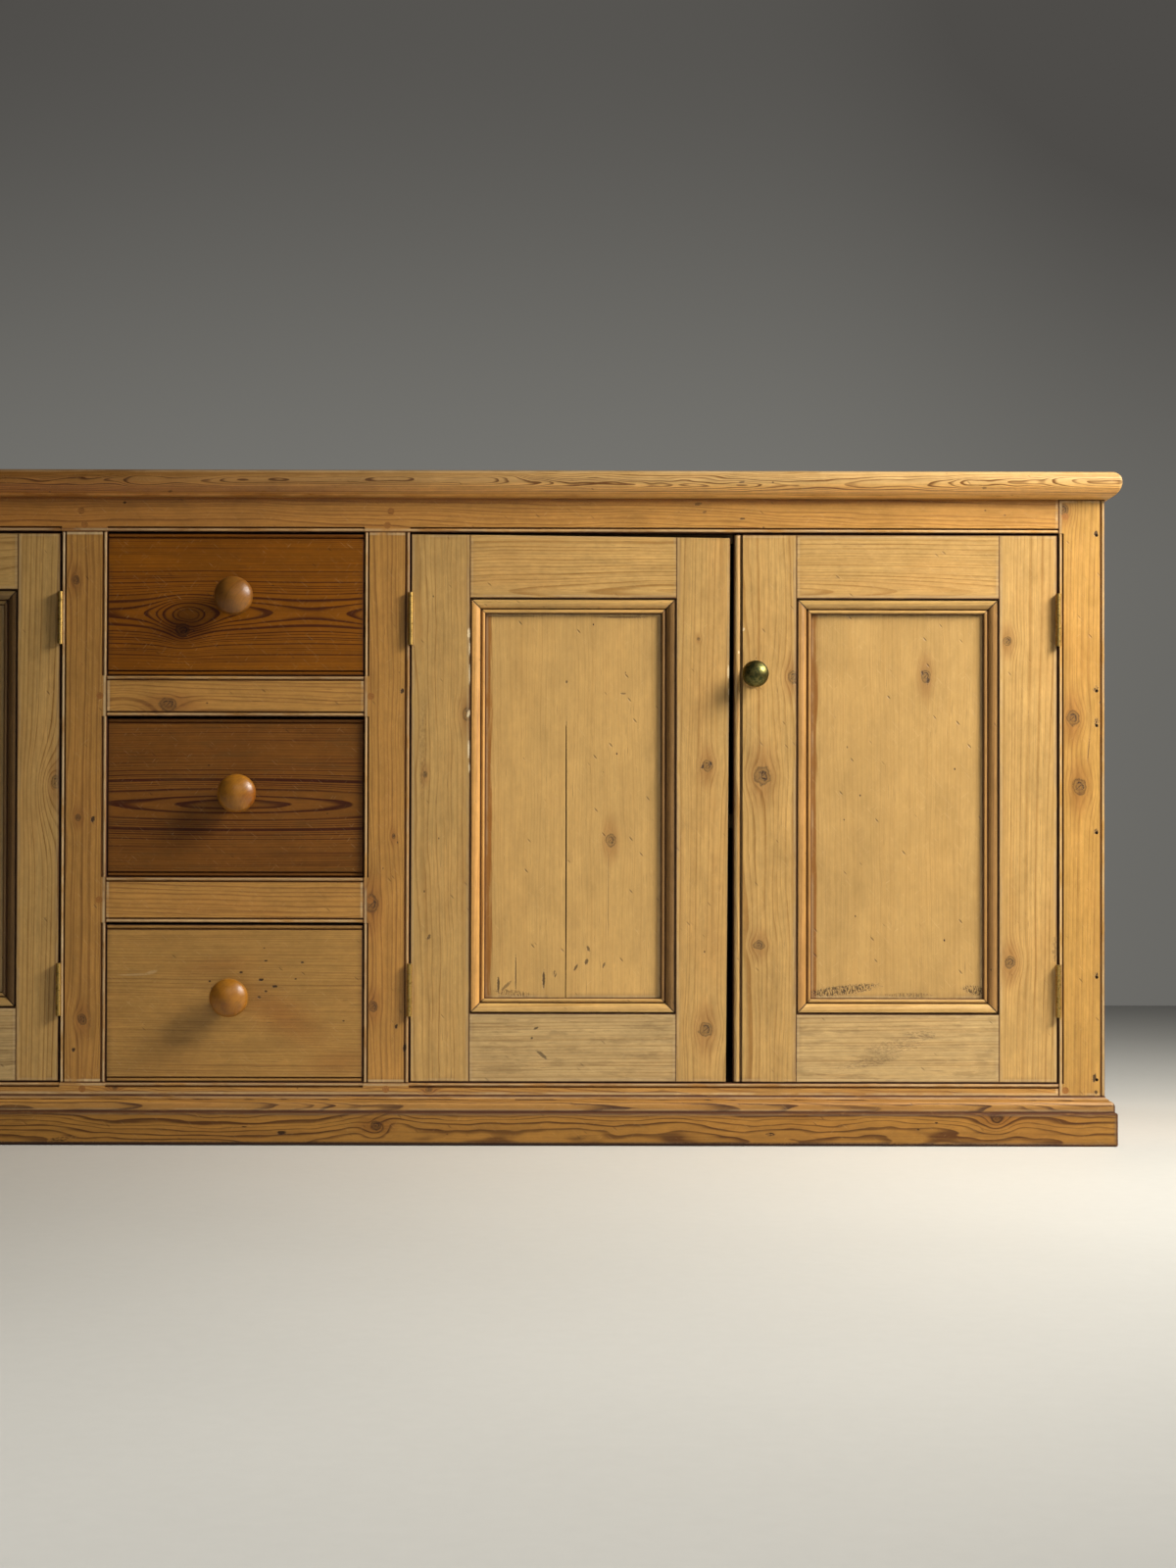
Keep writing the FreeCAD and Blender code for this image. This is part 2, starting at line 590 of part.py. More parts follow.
def make_face_frame(pegs, nails, hinge_cutters):
    """Stiles, muntins and rails, joined with pegged tenons and beaded round every opening."""
    opening_height = opening_top - s.opening_bottom
    door_span = stile_inner - muntin_outer
    shoulder = s.tenon_shoulder

    def rail(name, x_end, z_low, z_high, beads):
        plank = box(name + "_plank", (-x_end, x_end), frame_y, (z_low, z_high))
        tenons = box(
            name + "_tenons",
            (-x_end - s.tenon_length, x_end + s.tenon_length),
            tenon_y,
            (z_low + shoulder, z_high - shoulder),
        )
        return cut(fuse(name + "_tenoned", [plank, tenons]), beads)

    def door_and_drawer_beads(name, z, inward):
        runs = [(-stile_inner, door_span), (-half_bay, s.bay_width), (muntin_outer, door_span)]
        return [
            edge_bead(f"{name}_bead_{index}", (x, face, z), X, inward, length)
            for index, (x, length) in enumerate(runs)
        ]

    muntins = {}
    for label, side in SIDES.items():
        plank = box(
            f"{label}_muntin_plank",
            span(side, half_bay, muntin_outer),
            frame_y,
            (s.opening_bottom, opening_top),
        )
        tenons = box(
            f"{label}_muntin_tenons",
            span(side, half_bay + shoulder, muntin_outer - shoulder),
            tenon_y,
            (s.opening_bottom - s.tenon_length, opening_top + s.tenon_length),
        )
        outer = (muntin_outer * side, face, s.opening_bottom)
        beads = [edge_bead(f"{label}_muntin_bead", outer, Z, X * -side, opening_height)]
        for name, (low, high, _) in DRAWERS.items():
            inner = (half_bay * side, face, low)
            beads.append(edge_bead(f"{label}_{name}_bead", inner, Z, X * side, high - low))
        muntins[label] = cut(fuse(f"{label}_muntin_tenoned", [plank, tenons]), beads)

    top_rail = rail("top_rail", stile_inner, opening_top, case_top,
                    door_and_drawer_beads("top_rail", opening_top, Z))
    bottom_rail = rail("bottom_rail", stile_inner, bottom_rail_low, s.opening_bottom,
                       door_and_drawer_beads("bottom_rail", s.opening_bottom, -Z))
    posts = list(muntins.values())
    node("top_rail", cut(top_rail, posts, pegs))
    node("bottom_rail", cut(bottom_rail, posts, pegs))

    drawer_rails = []
    for name, low, high in (("upper", middle_top, upper_bottom), ("lower", lower_top, middle_bottom)):
        beads = [
            edge_bead(f"{name}_rail_top_bead", (-half_bay, face, high), X, -Z, s.bay_width),
            edge_bead(f"{name}_rail_under_bead", (-half_bay, face, low), X, Z, s.bay_width),
        ]
        drawer_rail = cut(rail(f"{name}_drawer_rail", half_bay, low, high, beads), pegs)
        drawer_rails.append(node(f"{name}_drawer_rail", drawer_rail))

    for label, side in SIDES.items():
        muntin = cut(muntins[label], drawer_rails, pegs, *hinge_cutters[label, "inner"])
        node(f"{label}_muntin", muntin)
        stile = box(f"{label}_stile_plank", span(side, stile_inner, half), frame_y, (0, case_top))
        beads = [
            edge_bead(f"{label}_stile_bead", (stile_inner * side, face, s.opening_bottom), Z, X * side,
                      opening_height),
            edge_bead(f"{label}_corner_bead", (half * side, face, base_top), Z, X * -side,
                      case_top - base_top),
        ]
        rails = [NODES["top_rail"], NODES["bottom_rail"]]
        stile = cut(stile, beads, rails, pegs, nails, *hinge_cutters[label, "outer"])
        node(f"{label}_end_stile", stile)


def make_carcase(nails):
    """Ends, partitions, floor, shelves and back behind the face frame."""
    inside_y = (frame_back, back_front)
    back_rail = node("back_rail", box(
        "back_rail_plank",
        (-end_inner, end_inner),
        (back_front - s.back_rail_thick, back_front),
        (case_top - s.back_rail_height, case_top),
    ))
    floor = (floor_top - s.floor_thick, floor_top)
    node("cupboard_floor", box("floor_boards", (-end_inner, end_inner), inside_y, floor))
    bearers = []
    shelf_low = s.shelf_height - s.shelf_thick
    shelf_y = (frame_back + s.shelf_setback, back_front)
    for label, side in SIDES.items():
        end = box(f"{label}_end_plank", span(side, end_inner, half), inside_y, (0, case_top))
        node(f"{label}_end_board", cut(end, nails))
        partition = box(f"{label}_partition_plank", span(side, partition_inner, partition_outer), inside_y,
                        (floor_top, case_top))
        node(f"{label}_partition", cut(partition, back_rail))
        shelf = box(f"{label}_shelf_board", span(side, partition_outer, end_inner), shelf_y,
                    (shelf_low, s.shelf_height))
        node(f"{label}_shelf", shelf)
        for name, near, far in (
            ("inner", partition_outer, partition_outer + s.bearer_thick),
            ("outer", end_inner - s.bearer_thick, end_inner),
        ):
            bearers.append(box(f"{label}_{name}_bearer", span(side, near, far), shelf_y,
                               (shelf_low - s.bearer_height, shelf_low)))
    node("shelf_bearers", group("bearer_set", bearers))


def make_back():
    """Upright back boards, each with a tongue on one edge in its neighbour's groove."""
    pitch = s.case_width / BACK_BOARD_COUNT
    tongue_y = back_front + (s.back_thick - s.back_tongue_thick) / 2
    levels = (s.back_clear, case_top)
    boards = []
    for index in range(BACK_BOARD_COUNT):
        left = -half + pitch * index
        first, last = index == 0, index == BACK_BOARD_COUNT - 1
        right = left + pitch - (0 if last else s.back_gap)
        board = box(f"back_plank_{index}", (left, right), (back_front, back), levels)
        if not last:
            tongue = box(f"back_tongue_{index}", (right, right + s.back_tongue),
                         (tongue_y, tongue_y + s.back_tongue_thick), levels)
            board = fuse(f"back_tongued_{index}", [board, tongue])
        if not first:
            groove = box(
                f"back_groove_{index}",
                (left, left + s.back_tongue),
                (tongue_y - s.back_groove_play, tongue_y + s.back_tongue_thick + s.back_groove_play),
                levels,
            )
            board = cut(board, groove)
        boards.append(board)
    node("back_boards", group("back_board_set", boards))


def make_base():
    """Plinth boards and the moulding on top of them, mitred at the front corners."""
    plinth = [
        (0, 0),
        (s.plinth_thick, 0),
        (s.plinth_thick, s.plinth_height - s.plinth_round, s.plinth_round, 1),
        (s.plinth_thick - s.plinth_round, s.plinth_height),
        (0, s.plinth_height),
    ]
    moulding = [
        (0, 0),
        (base_projection, 0),
        (base_projection, s.base_foot, s.base_ovolo, 1),
        (s.base_cove, s.base_foot + s.base_ovolo),
        (s.base_cove, base_height - s.base_cove, s.base_cove, -1),
        (0, base_height),
    ]

    def around(name, profile, depth, height, z):
        run = s.case_width + 2 * depth
        side_run = s.case_depth + depth
        outside = ("outside", "outside")
        front = mitred_strip(f"{name}_front", profile, run, depth, height, (half + depth, face, z), -X, -Y,
                             outside)
        right = mitred_strip(f"{name}_right", profile, side_run, depth, height, (half, back, z), -Y, X,
                             ("square", "outside"))
        left = mitred_strip(f"{name}_left", profile, side_run, depth, height, (-half, face - depth, z), Y, -X,
                            ("outside", "square"))
        return front, right, left

    front, right, left = around("plinth", plinth, s.plinth_thick, s.plinth_height, 0)
    node("plinth_front", front)
    node("plinth_returns", group("plinth_return_pair", [right, left]))
    moulds = around("base_mould", moulding, base_projection, base_height, s.plinth_height)
    node("base_moulding", group("base_mould_set", moulds))


def make_drawer_supports():
    """Runners under each drawer, guides beside it and stops behind it, fixed to the partitions."""
    runners, guides, stops = [], [], []
    inside_y = (frame_back, back_front)
    for name, (low, _, setback) in DRAWERS.items():
        under = floor_top if name == "lower" else low - s.runner_thick
        drawer_end = face + setback + s.drawer_length
        for label, side in SIDES.items():
            runner_x = span(side, partition_inner - s.runner_width, partition_inner)
            guide_x = span(side, half_bay, partition_inner)
            stop_x = span(side, partition_inner - s.runner_width, half_bay)
            runners.append(box(f"{label}_{name}_runner", runner_x, inside_y, (under, low)))
            guides.append(box(f"{label}_{name}_guide", guide_x, inside_y, (low, low + s.guide_height)))
            stops.append(box(f"{label}_{name}_stop", stop_x, (drawer_end + s.stop_play, back_front),
                             (low, low + s.stop_height)))
    node("drawer_runners", group("runner_set", runners))
    node("drawer_guides", group("guide_set", guides))
    node("drawer_stops", group("stop_set", stops))


def make_door_stops():
    """A strip behind the top rail of each cupboard for the doors to close on."""
    strips = [
        box(
            f"{label}_door_stop_strip",
            span(side, muntin_outer + s.door_stop_inset, stile_inner - s.door_stop_inset),
            (frame_back, frame_back + s.door_stop_thick),
            (opening_top - s.door_stop_drop, opening_top - s.door_stop_drop + s.door_stop_height),
        )
        for label, side in SIDES.items()
    ]
    node("door_stops", group("door_stop_set", strips))


def knob_outline(spigot_radius, spigot, neck_radius, neck, flare, rim, radius, edge_radius, face_radius):
    """Half the outline of a turned knob, from the end of its spigot to the crown of its face."""
    shoulder = radius - edge_radius
    reach = face_radius - edge_radius
    sink = root(reach * reach - shoulder * shoulder)
    rim_start = spigot + neck + flare
    rim_end = rim_start + rim
    return [
        (0, 0),
        (spigot_radius, 0),
        (spigot_radius, spigot),
        (neck_radius, spigot),
        (neck_radius, spigot + neck),
        (radius, rim_start),
        (radius, rim_end, edge_radius, 1),
        (shoulder * face_radius / reach, rim_end - sink + sink * face_radius / reach, face_radius, 1),
        (0, rim_end - sink + face_radius),
    ]


def make_drawer(name, low, high, setback):
    """A lap-dovetailed box with a beaded front and one turned knob."""
    front_y = face + setback
    front_back = front_y + s.drawer_front_thick
    width = half_bay - s.drawer_gap
    front_low, front_high = low + s.drawer_bottom_gap, high - s.drawer_top_gap
    side_low, side_high = low + s.drawer_lift, front_high - s.drawer_side_drop
    side_height = side_high - side_low
    end_y = front_y + s.drawer_length
    run = s.drawer_length - s.drawer_front_thick + s.tail_length
    inner = width - s.drawer_side_thick
    housed = inner + s.drawer_housing
    bottom_low = side_low + s.drawer_bottom_rise
    bottom_high = bottom_low + s.drawer_bottom_thick
    back_end = end_y - s.drawer_back_inset

    bottom = box(f"{name}_bottom", (-housed, housed),
                 (front_back - s.drawer_housing, back_end), (bottom_low, bottom_high))
    rear = box(f"{name}_back", (-housed, housed),
               (back_end - s.drawer_back_thick, back_end), (bottom_high, side_high - s.drawer_side_drop))
    rear_fitted = [bottom, rear]

    pitch = side_height / TAIL_COUNT
    tail_root = pitch - s.dovetail_pin
    corners = [
        (s.tail_length, 0),
        (run, 0),
        (run, side_height),
        (s.tail_length, side_height),
    ]
    for index in reversed(range(TAIL_COUNT)):
        middle = pitch * (index + 0.5)
        corners += [
            (s.tail_length, middle + tail_root / 2),
            (0, middle + tail_root / 2 + s.tail_slope),
            (0, middle - tail_root / 2 - s.tail_slope),
            (s.tail_length, middle - tail_root / 2),
        ]
    sides = []
    for label, outer_x in (("right", width - s.drawer_side_thick), ("left", -width)):
        start = (outer_x, front_back - s.tail_length, side_low)
        plank = extruded(f"{name}_{label}_side", corners, s.drawer_side_thick, start, Y, Z)
        sides.append(cut(plank, rear_fitted))

    across = getattr(s, f"{name}_knob_across")
    up = getattr(s, f"{name}_knob_up")
    knob = turned(
        f"{name}_knob_turning",
        knob_outline(s.knob_spigot_radius, s.knob_spigot, s.knob_neck_radius, s.knob_neck, s.knob_flare,
                     s.knob_rim, s.knob_radius, s.knob_edge_radius, s.knob_face_radius),
        (across, front_y + s.knob_spigot, (front_low + front_high) / 2 + up),
        X,
        -Y,
    )
    front = box(f"{name}_front_plank", (-width, width), (front_y, front_back), (front_low, front_high))
    beads = [
        edge_bead(f"{name}_front_top_bead", (-width, front_y, front_high), X, -Z, 2 * width),
        edge_bead(f"{name}_front_under_bead", (-width, front_y, front_low), X, Z, 2 * width),
    ]
    node(f"{name}_drawer_front", cut(front, beads, sides, bottom, knob))
    node(f"{name}_drawer_box", group(f"{name}_box_set", [*sides, rear, bottom]))
    node(f"{name}_drawer_knob", knob)


def hinge_levels():
    """The lower end of each of a door's two hinges."""
    door_top = opening_top - s.door_top_gap
    door_bottom = s.opening_bottom + s.door_bottom_gap
    return {
        "upper": door_top - s.upper_hinge_inset - s.hinge_length,
        "lower": door_bottom + s.lower_hinge_inset,
    }


def make_hinge(name, frame_edge, way, z):
    """A butt hinge: a leaf let into the frame, a leaf let into the door's edge, a pin and their screws.
    way is 1 where the door lies to the right of the frame's edge, and -1 where it lies to the left."""
    recess = s.hinge_leaf_thick - (s.door_gap - s.hinge_leaf_gap) / 2
    axis_x = frame_edge + s.door_gap / 2 * way
    axis_y = face - s.hinge_proud
    plate_start = axis_y + s.knuckle_radius + s.knuckle_play
    plate_end = face + s.door_setback + s.hinge_leaf_width
    slot = s.hinge_length / KNUCKLE_COUNT
    axis = (axis_x, axis_y, z)

    def ordered(first, second):
        return (first, second) if way > 0 else (second, first)

    frame_plate = ordered(frame_edge - recess * way, frame_edge + (s.hinge_leaf_thick - recess) * way)
    door_edge = frame_edge + s.door_gap * way
    low_first = door_edge - (s.hinge_leaf_thick - recess) * way
    door_plate = ordered(low_first, low_first + s.hinge_leaf_thick * way)

    def leaf(kind, plate_x, first, bore_play, screw_face, into):
        plate = box(f"{name}_{kind}_plate", plate_x, (plate_start, plate_end), (z, z + s.hinge_length))
        pieces = [plate]
        for index in range(first, KNUCKLE_COUNT, 2):
            below = s.knuckle_play / 2 if index else 0
            above = s.knuckle_play / 2 if index < KNUCKLE_COUNT - 1 else 0
            low, high = z + slot * index + below, z + slot * (index + 1) - above
            pieces.append(cylinder(f"{name}_{kind}_knuckle", s.knuckle_radius, high - low,
                                   (axis_x, axis_y, low), Z))
            pieces.append(box(f"{name}_{kind}_root", plate_x, (axis_y, plate_end), (low, high)))
        bore = cylinder(f"{name}_{kind}_bore", s.pin_radius + bore_play, s.hinge_length, axis, Z)
        screws = []
        screw_y = (face + s.door_setback + plate_end) / 2
        for index in range(SCREWS_PER_LEAF):
            screw_z = z + s.hinge_length * (index + 0.5) / SCREWS_PER_LEAF
            screws.append(cone(f"{name}_{kind}_screw", s.screw_head, s.screw_tip, s.screw_length,
                               (screw_face, screw_y, screw_z), X * into))
        finished = cut(fuse(f"{name}_{kind}_leaf", pieces), bore, screws)
        bed = box(f"{name}_{kind}_bed", plate_x, (plate_start, plate_end), (z, z + s.hinge_length))
        return SimpleNamespace(leaf=finished, screws=screws, bed=bed)

    frame_leaf = leaf("frame", frame_plate, 0, s.pin_fit, frame_edge + (s.hinge_leaf_thick - recess) * way,
                      -way)
    door_leaf = leaf("door", door_plate, 1, s.pin_play, low_first, way)
    pin = cylinder(f"{name}_pin", s.pin_radius, s.hinge_length, axis, Z)
    return SimpleNamespace(frame=frame_leaf, door=door_leaf, pin=pin)


def make_hinges():
    """Two hinges for each door, with the pieces that stay on the frame gathered by kind."""
    hinges, leaves, pins, screws, cutters = {}, [], [], [], {}
    for label, side in SIDES.items():
        for place_name, edge, way in (("inner", muntin_outer, 1), ("outer", stile_inner, -1)):
            pair = [
                make_hinge(f"{label}_{place_name}_{level}_hinge", edge * side, way * side, z)
                for level, z in hinge_levels().items()
            ]
            hinges[label, place_name] = pair
            leaves += [hinge.frame.leaf for hinge in pair]
            pins += [hinge.pin for hinge in pair]
            frame_screws = [screw for hinge in pair for screw in hinge.frame.screws]
            screws += frame_screws
            cutters[label, place_name] = ([hinge.frame.bed for hinge in pair], frame_screws)
    node("hinge_frame_leaves", group("hinge_frame_leaf_set", leaves))
    node("hinge_pins", group("hinge_pin_set", pins))
    node("hinge_frame_screws", group("hinge_frame_screw_set", screws))
    return hinges, cutters


def panel_moulding(name, x_span, z_span, y):
    """Four mitred strips planted round a door's panel."""
    ovolo_start = s.mould_quirk + s.mould_crown_width
    ovolo_end = ovolo_start + s.mould_ovolo
    shoulder = s.mould_crown - s.mould_ovolo_drop
    groove_end = ovolo_end + s.mould_groove
    width = groove_end + s.mould_bead
    bead_foot = shoulder - s.mould_groove_depth
    profile = [
        (0, 0),
        (width, 0),
        (width, bead_foot, s.mould_bead / 2, 1),
        (width - s.mould_bead / 2, bead_foot + s.mould_bead / 2, s.mould_bead / 2, 1),
        (groove_end, bead_foot),
        (ovolo_end, bead_foot),
        (ovolo_end, shoulder, s.mould_ovolo_radius, 1),
        (ovolo_start, s.mould_crown),
        (s.mould_quirk, s.mould_crown),
        (s.mould_quirk, s.mould_quirk_foot),
        (0, s.mould_quirk_foot),
    ]
    (left, right), (low, high) = x_span, z_span
    across, tall = right - left, high - low
    ends = ("inside", "inside")
    runs = [
        ("bottom", across, (left, y, low), X, Z),
        ("right", tall, (right, y, low), Z, -X),
        ("top", across, (right, y, high), -X, -Z),
        ("left", tall, (left, y, high), -Z, X),
    ]
    return [
        mitred_strip(f"{name}_{edge}_mould", profile, length, width, s.mould_crown, corner, along, inward, ends)
        for edge, length, corner, along, inward in runs
    ]


def make_door(label, side, kind, hinges):
    """A framed door: tenoned rails, a panel loose in its grooves, a planted moulding and its brasses."""
    name = f"{label}_{kind}_door"
    hinge_stile = getattr(s, f"{label}_{kind}_hinge_stile")
    meeting_stile = getattr(s, f"{label}_{kind}_meeting_stile")
    top_rail, bottom_rail = getattr(s, f"{label}_top_rail"), getattr(s, f"{label}_bottom_rail")
    inner_end = muntin_outer + s.door_gap + s.inner_door_width
    if kind == "inner":
        near, far = muntin_outer + s.door_gap, inner_end
        near_stile, far_stile = hinge_stile, meeting_stile
    else:
        near, far = inner_end + s.meeting_gap, stile_inner - s.door_gap
        near_stile, far_stile = meeting_stile, hinge_stile
    panel_near, panel_far = near + near_stile, far - far_stile
    bottom, top = s.opening_bottom + s.door_bottom_gap, opening_top - s.door_top_gap
    panel_low, panel_high = bottom + bottom_rail, top - top_rail
    front = face + s.door_setback
    door_y = (front, front + s.door_thick)
    panel_y = (front + s.panel_setback, front + s.panel_setback + s.panel_thick)
    groove_y = (panel_y[0], panel_y[1] + s.groove_play)
    middle_y = (panel_y[0] + panel_y[1]) / 2
    tenon = (middle_y - s.door_tenon_thick / 2, middle_y + s.door_tenon_thick / 2)
    seat = s.groove_depth - s.panel_play

    groove = box(f"{name}_groove", span(side, panel_near - s.groove_depth, panel_far + s.groove_depth), groove_y,
                 (panel_low - s.groove_depth, panel_high + s.groove_depth))
    rails = []
    for edge, low, high, tenon_low, tenon_high in (
        ("top", panel_high, top, panel_high + s.door_tenon_shoulder, top - s.door_tenon_shoulder),
        ("bottom", bottom, panel_low, bottom + s.door_tenon_shoulder, panel_low - s.door_tenon_shoulder),
    ):
        plank = box(f"{name}_{edge}_rail", span(side, panel_near, panel_far), door_y, (low, high))
        tenons = box(f"{name}_{edge}_tenons",
                     span(side, panel_near - s.door_tenon, panel_far + s.door_tenon), tenon,
                     (tenon_low, tenon_high))
        rails.append(cut(fuse(f"{name}_{edge}_tenoned", [plank, tenons]), groove))
    stiles = {}
    for edge, low, high in (("near", near, panel_near), ("far", panel_far, far)):
        plank = box(f"{name}_{edge}_stile", span(side, low, high), door_y, (bottom, top))
        stiles[edge] = cut(plank, rails, groove)
    hinge_edge, meeting_edge = ("near", "far") if kind == "inner" else ("far", "near")
    beds = [hinge.door.bed for hinge in hinges]
    screws = [screw for hinge in hinges for screw in hinge.door.screws]
    stiles[hinge_edge] = cut(stiles[hinge_edge], beds, screws)

    panel = box(f"{name}_panel_board", span(side, panel_near - seat, panel_far + seat), panel_y,
                (panel_low - seat, panel_high + seat))
    brasses = [hinge.door.leaf for hinge in hinges] + screws

    if kind == "outer":
        meeting_x = near * side
        long_bead = bead(f"{name}_meeting_bead", (meeting_x, front, bottom), Z, X * side, top - bottom,
                         s.meeting_bead, s.meeting_quirk)
        turn_x = (near + s.turn_inset) * side
        spindle_hole = cylinder(f"{name}_spindle_hole", s.spindle_radius + s.spindle_play,
                                s.door_thick, (turn_x, front, s.turn_height), Y)
        stiles[meeting_edge] = cut(stiles[meeting_edge], long_bead, spindle_hole)
        rose = cylinder(f"{name}_rose_disc", s.rose_radius, s.rose_thick,
                        (turn_x, front - s.rose_thick, s.turn_height), Y)
        rose_hole = cylinder(f"{name}_rose_hole", s.spindle_radius + s.spindle_play, s.rose_thick,
                             (turn_x, front - s.rose_thick, s.turn_height), Y)
        brasses.append(cut(rose, rose_hole))
        make_turn_catch(label, turn_x, front)
    if (label, kind) == ("right", "inner"):
        taper_corners = [(0, 0), (s.droop_side, 0), (s.droop_side, top - bottom)]
        side_taper = extruded(f"{name}_side_taper", taper_corners, s.door_thick,
                              (far - s.droop_side, front + s.door_thick, bottom), X, Z)
        drop_corners = [(0, s.droop_top), (far - near, 0), (far - near, s.droop_top)]
        top_taper = extruded(f"{name}_top_taper", drop_corners, s.door_thick,
                             (near, front + s.door_thick, top - s.droop_top), X, Z)
        rails[0] = cut(rails[0], top_taper)
        stiles = {edge: cut(stile, top_taper) for edge, stile in stiles.items()}
        stiles[meeting_edge] = cut(stiles[meeting_edge], side_taper)
        split_x = panel_near + s.split_inset
        split = box(f"{name}_split", (split_x, split_x + s.split_width), panel_y,
                    (panel_low, panel_low + s.split_length))
        panel = cut(panel, split)
    node(f"{name}_frame", group(f"{name}_frame_set", [*stiles.values(), *rails]))
    node(f"{name}_panel", panel)
    mouldings = panel_moulding(name, span(side, panel_near, panel_far), (panel_low, panel_high), panel_y[0])
    node(f"{name}_moulding", group(f"{name}_moulding_set", mouldings))
    node(f"{name}_brasses", group(f"{name}_brass_set", brasses))


def make_turn_catch(label, x, front):
    """A brass knob on a spindle through the door, with a tongue behind it that hangs clear of the doors."""
    tongue_y = front + s.door_thick + s.tongue_gap
    spindle = s.door_thick + s.tongue_gap + s.tongue_thick + s.rose_thick + s.rose_gap
    knob = turned(
        f"{label}_turn_knob_turning",
        knob_outline(s.spindle_radius, spindle, s.turn_neck_radius, s.turn_neck, s.turn_flare, s.turn_rim,
                     s.turn_radius, s.turn_edge_radius, s.turn_face_radius),
        (x, tongue_y + s.tongue_thick, s.turn_height),
        X,
        -Y,
    )
    tongue = box(
        f"{label}_turn_tongue",
        (x - s.tongue_width / 2, x + s.tongue_width / 2),
        (tongue_y, tongue_y + s.tongue_thick),
        (s.turn_height - s.tongue_length, s.turn_height + s.tongue_width / 2),
    )
    node(f"{label}_turn_catch", group(f"{label}_turn_set", [knob, cut(tongue, knob)]))


def check_pieces():
    """Every object computed, and every sub-part a valid shape."""
    doc.recompute()
    failed = [o.Name for o in doc.Objects if "Invalid" in o.State or "Error" in o.State]
    failed += [label for label, o in NODES.items() if o.Shape.isNull() or not o.Shape.isValid()]
    failed += [label for label, o in NODES.items() if not o.Shape.Solids]
    if failed:
        raise RuntimeError("pieces that failed: " + ", ".join(failed))


def write_pieces():
    os.makedirs("parts", exist_ok=True)
    for label, piece in NODES.items():
        piece.Shape.exportStep(f"parts/{label}.step")
        print(label, len(piece.Shape.Solids), "solids", round(piece.Shape.Volume), "mm3")


pegs = make_pegs()
nails = make_nails()
hinges, hinge_cutters = make_hinges()
make_worktop()
make_face_frame(pegs, nails, hinge_cutters)
make_carcase(nails)
make_back()
make_base()
make_drawer_supports()
make_door_stops()
node("frame_pegs", group("peg_set", pegs))
node("frame_nails", group("nail_set", nails))
for drawer_name, drawer_sizes in DRAWERS.items():
    make_drawer(drawer_name, *drawer_sizes)
for pair_label, pair_side in SIDES.items():
    for door_kind in ("inner", "outer"):
        make_door(pair_label, pair_side, door_kind, hinges[pair_label, door_kind])
check_pieces()
write_pieces()
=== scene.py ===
import math

import bpy
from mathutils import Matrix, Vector


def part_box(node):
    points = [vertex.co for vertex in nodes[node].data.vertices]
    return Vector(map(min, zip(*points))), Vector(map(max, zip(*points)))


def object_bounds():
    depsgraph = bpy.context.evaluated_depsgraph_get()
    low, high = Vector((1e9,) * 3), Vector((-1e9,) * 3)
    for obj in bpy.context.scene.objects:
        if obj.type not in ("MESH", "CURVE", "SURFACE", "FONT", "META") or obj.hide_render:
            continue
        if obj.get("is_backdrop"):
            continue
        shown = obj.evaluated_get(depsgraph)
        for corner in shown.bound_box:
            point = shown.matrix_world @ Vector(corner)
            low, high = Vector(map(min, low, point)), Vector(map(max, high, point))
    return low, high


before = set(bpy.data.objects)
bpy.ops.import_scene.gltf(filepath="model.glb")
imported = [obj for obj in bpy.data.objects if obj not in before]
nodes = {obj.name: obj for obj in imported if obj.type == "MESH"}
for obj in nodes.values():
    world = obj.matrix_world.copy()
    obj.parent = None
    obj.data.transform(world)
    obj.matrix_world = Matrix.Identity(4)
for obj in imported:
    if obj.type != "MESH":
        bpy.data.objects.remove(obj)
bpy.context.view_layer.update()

MM = 1000.0

# Planes and levels of the dresser, in millimetres
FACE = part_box("right_end_stile")[0].y * MM
DOOR_FACE = FACE + 1.0
PANEL_FACE = DOOR_FACE + 10.5
CASE_BACK = FACE + 470
TOP_JOINT = FACE + 241
BAY = 156.0
MUNTIN = 211.0
STILE = 998.0
HALF = 1054.0
PLINTH_HALF = 1067.0
TOP_HALF = 1072.0
PLINTH_TOP = 40.0
BASE_TOP = 59.0
OPEN_LOW = 74.0
OPEN_TOP = 741.0
CASE_TOP = 782.0
TOP_LEVEL = 815.0
DRAWER_HALF = 154.6
DRAWER_INSIDE = 142.0
DRAWER_FLOOR = 19.0
BACK_BOARDS = 12
ARRIS = 0.7


def linear(text):
    """A colour written as six hex digits, in the linear values that shaders use."""
    parts = [int(text[i : i + 2], 16) / 255 for i in (0, 2, 4)]
    return tuple(((c + 0.055) / 1.055) ** 2.4 if c > 0.04045 else c / 12.92 for c in parts)


def colour(text):
    return (*linear(text), 1.0)


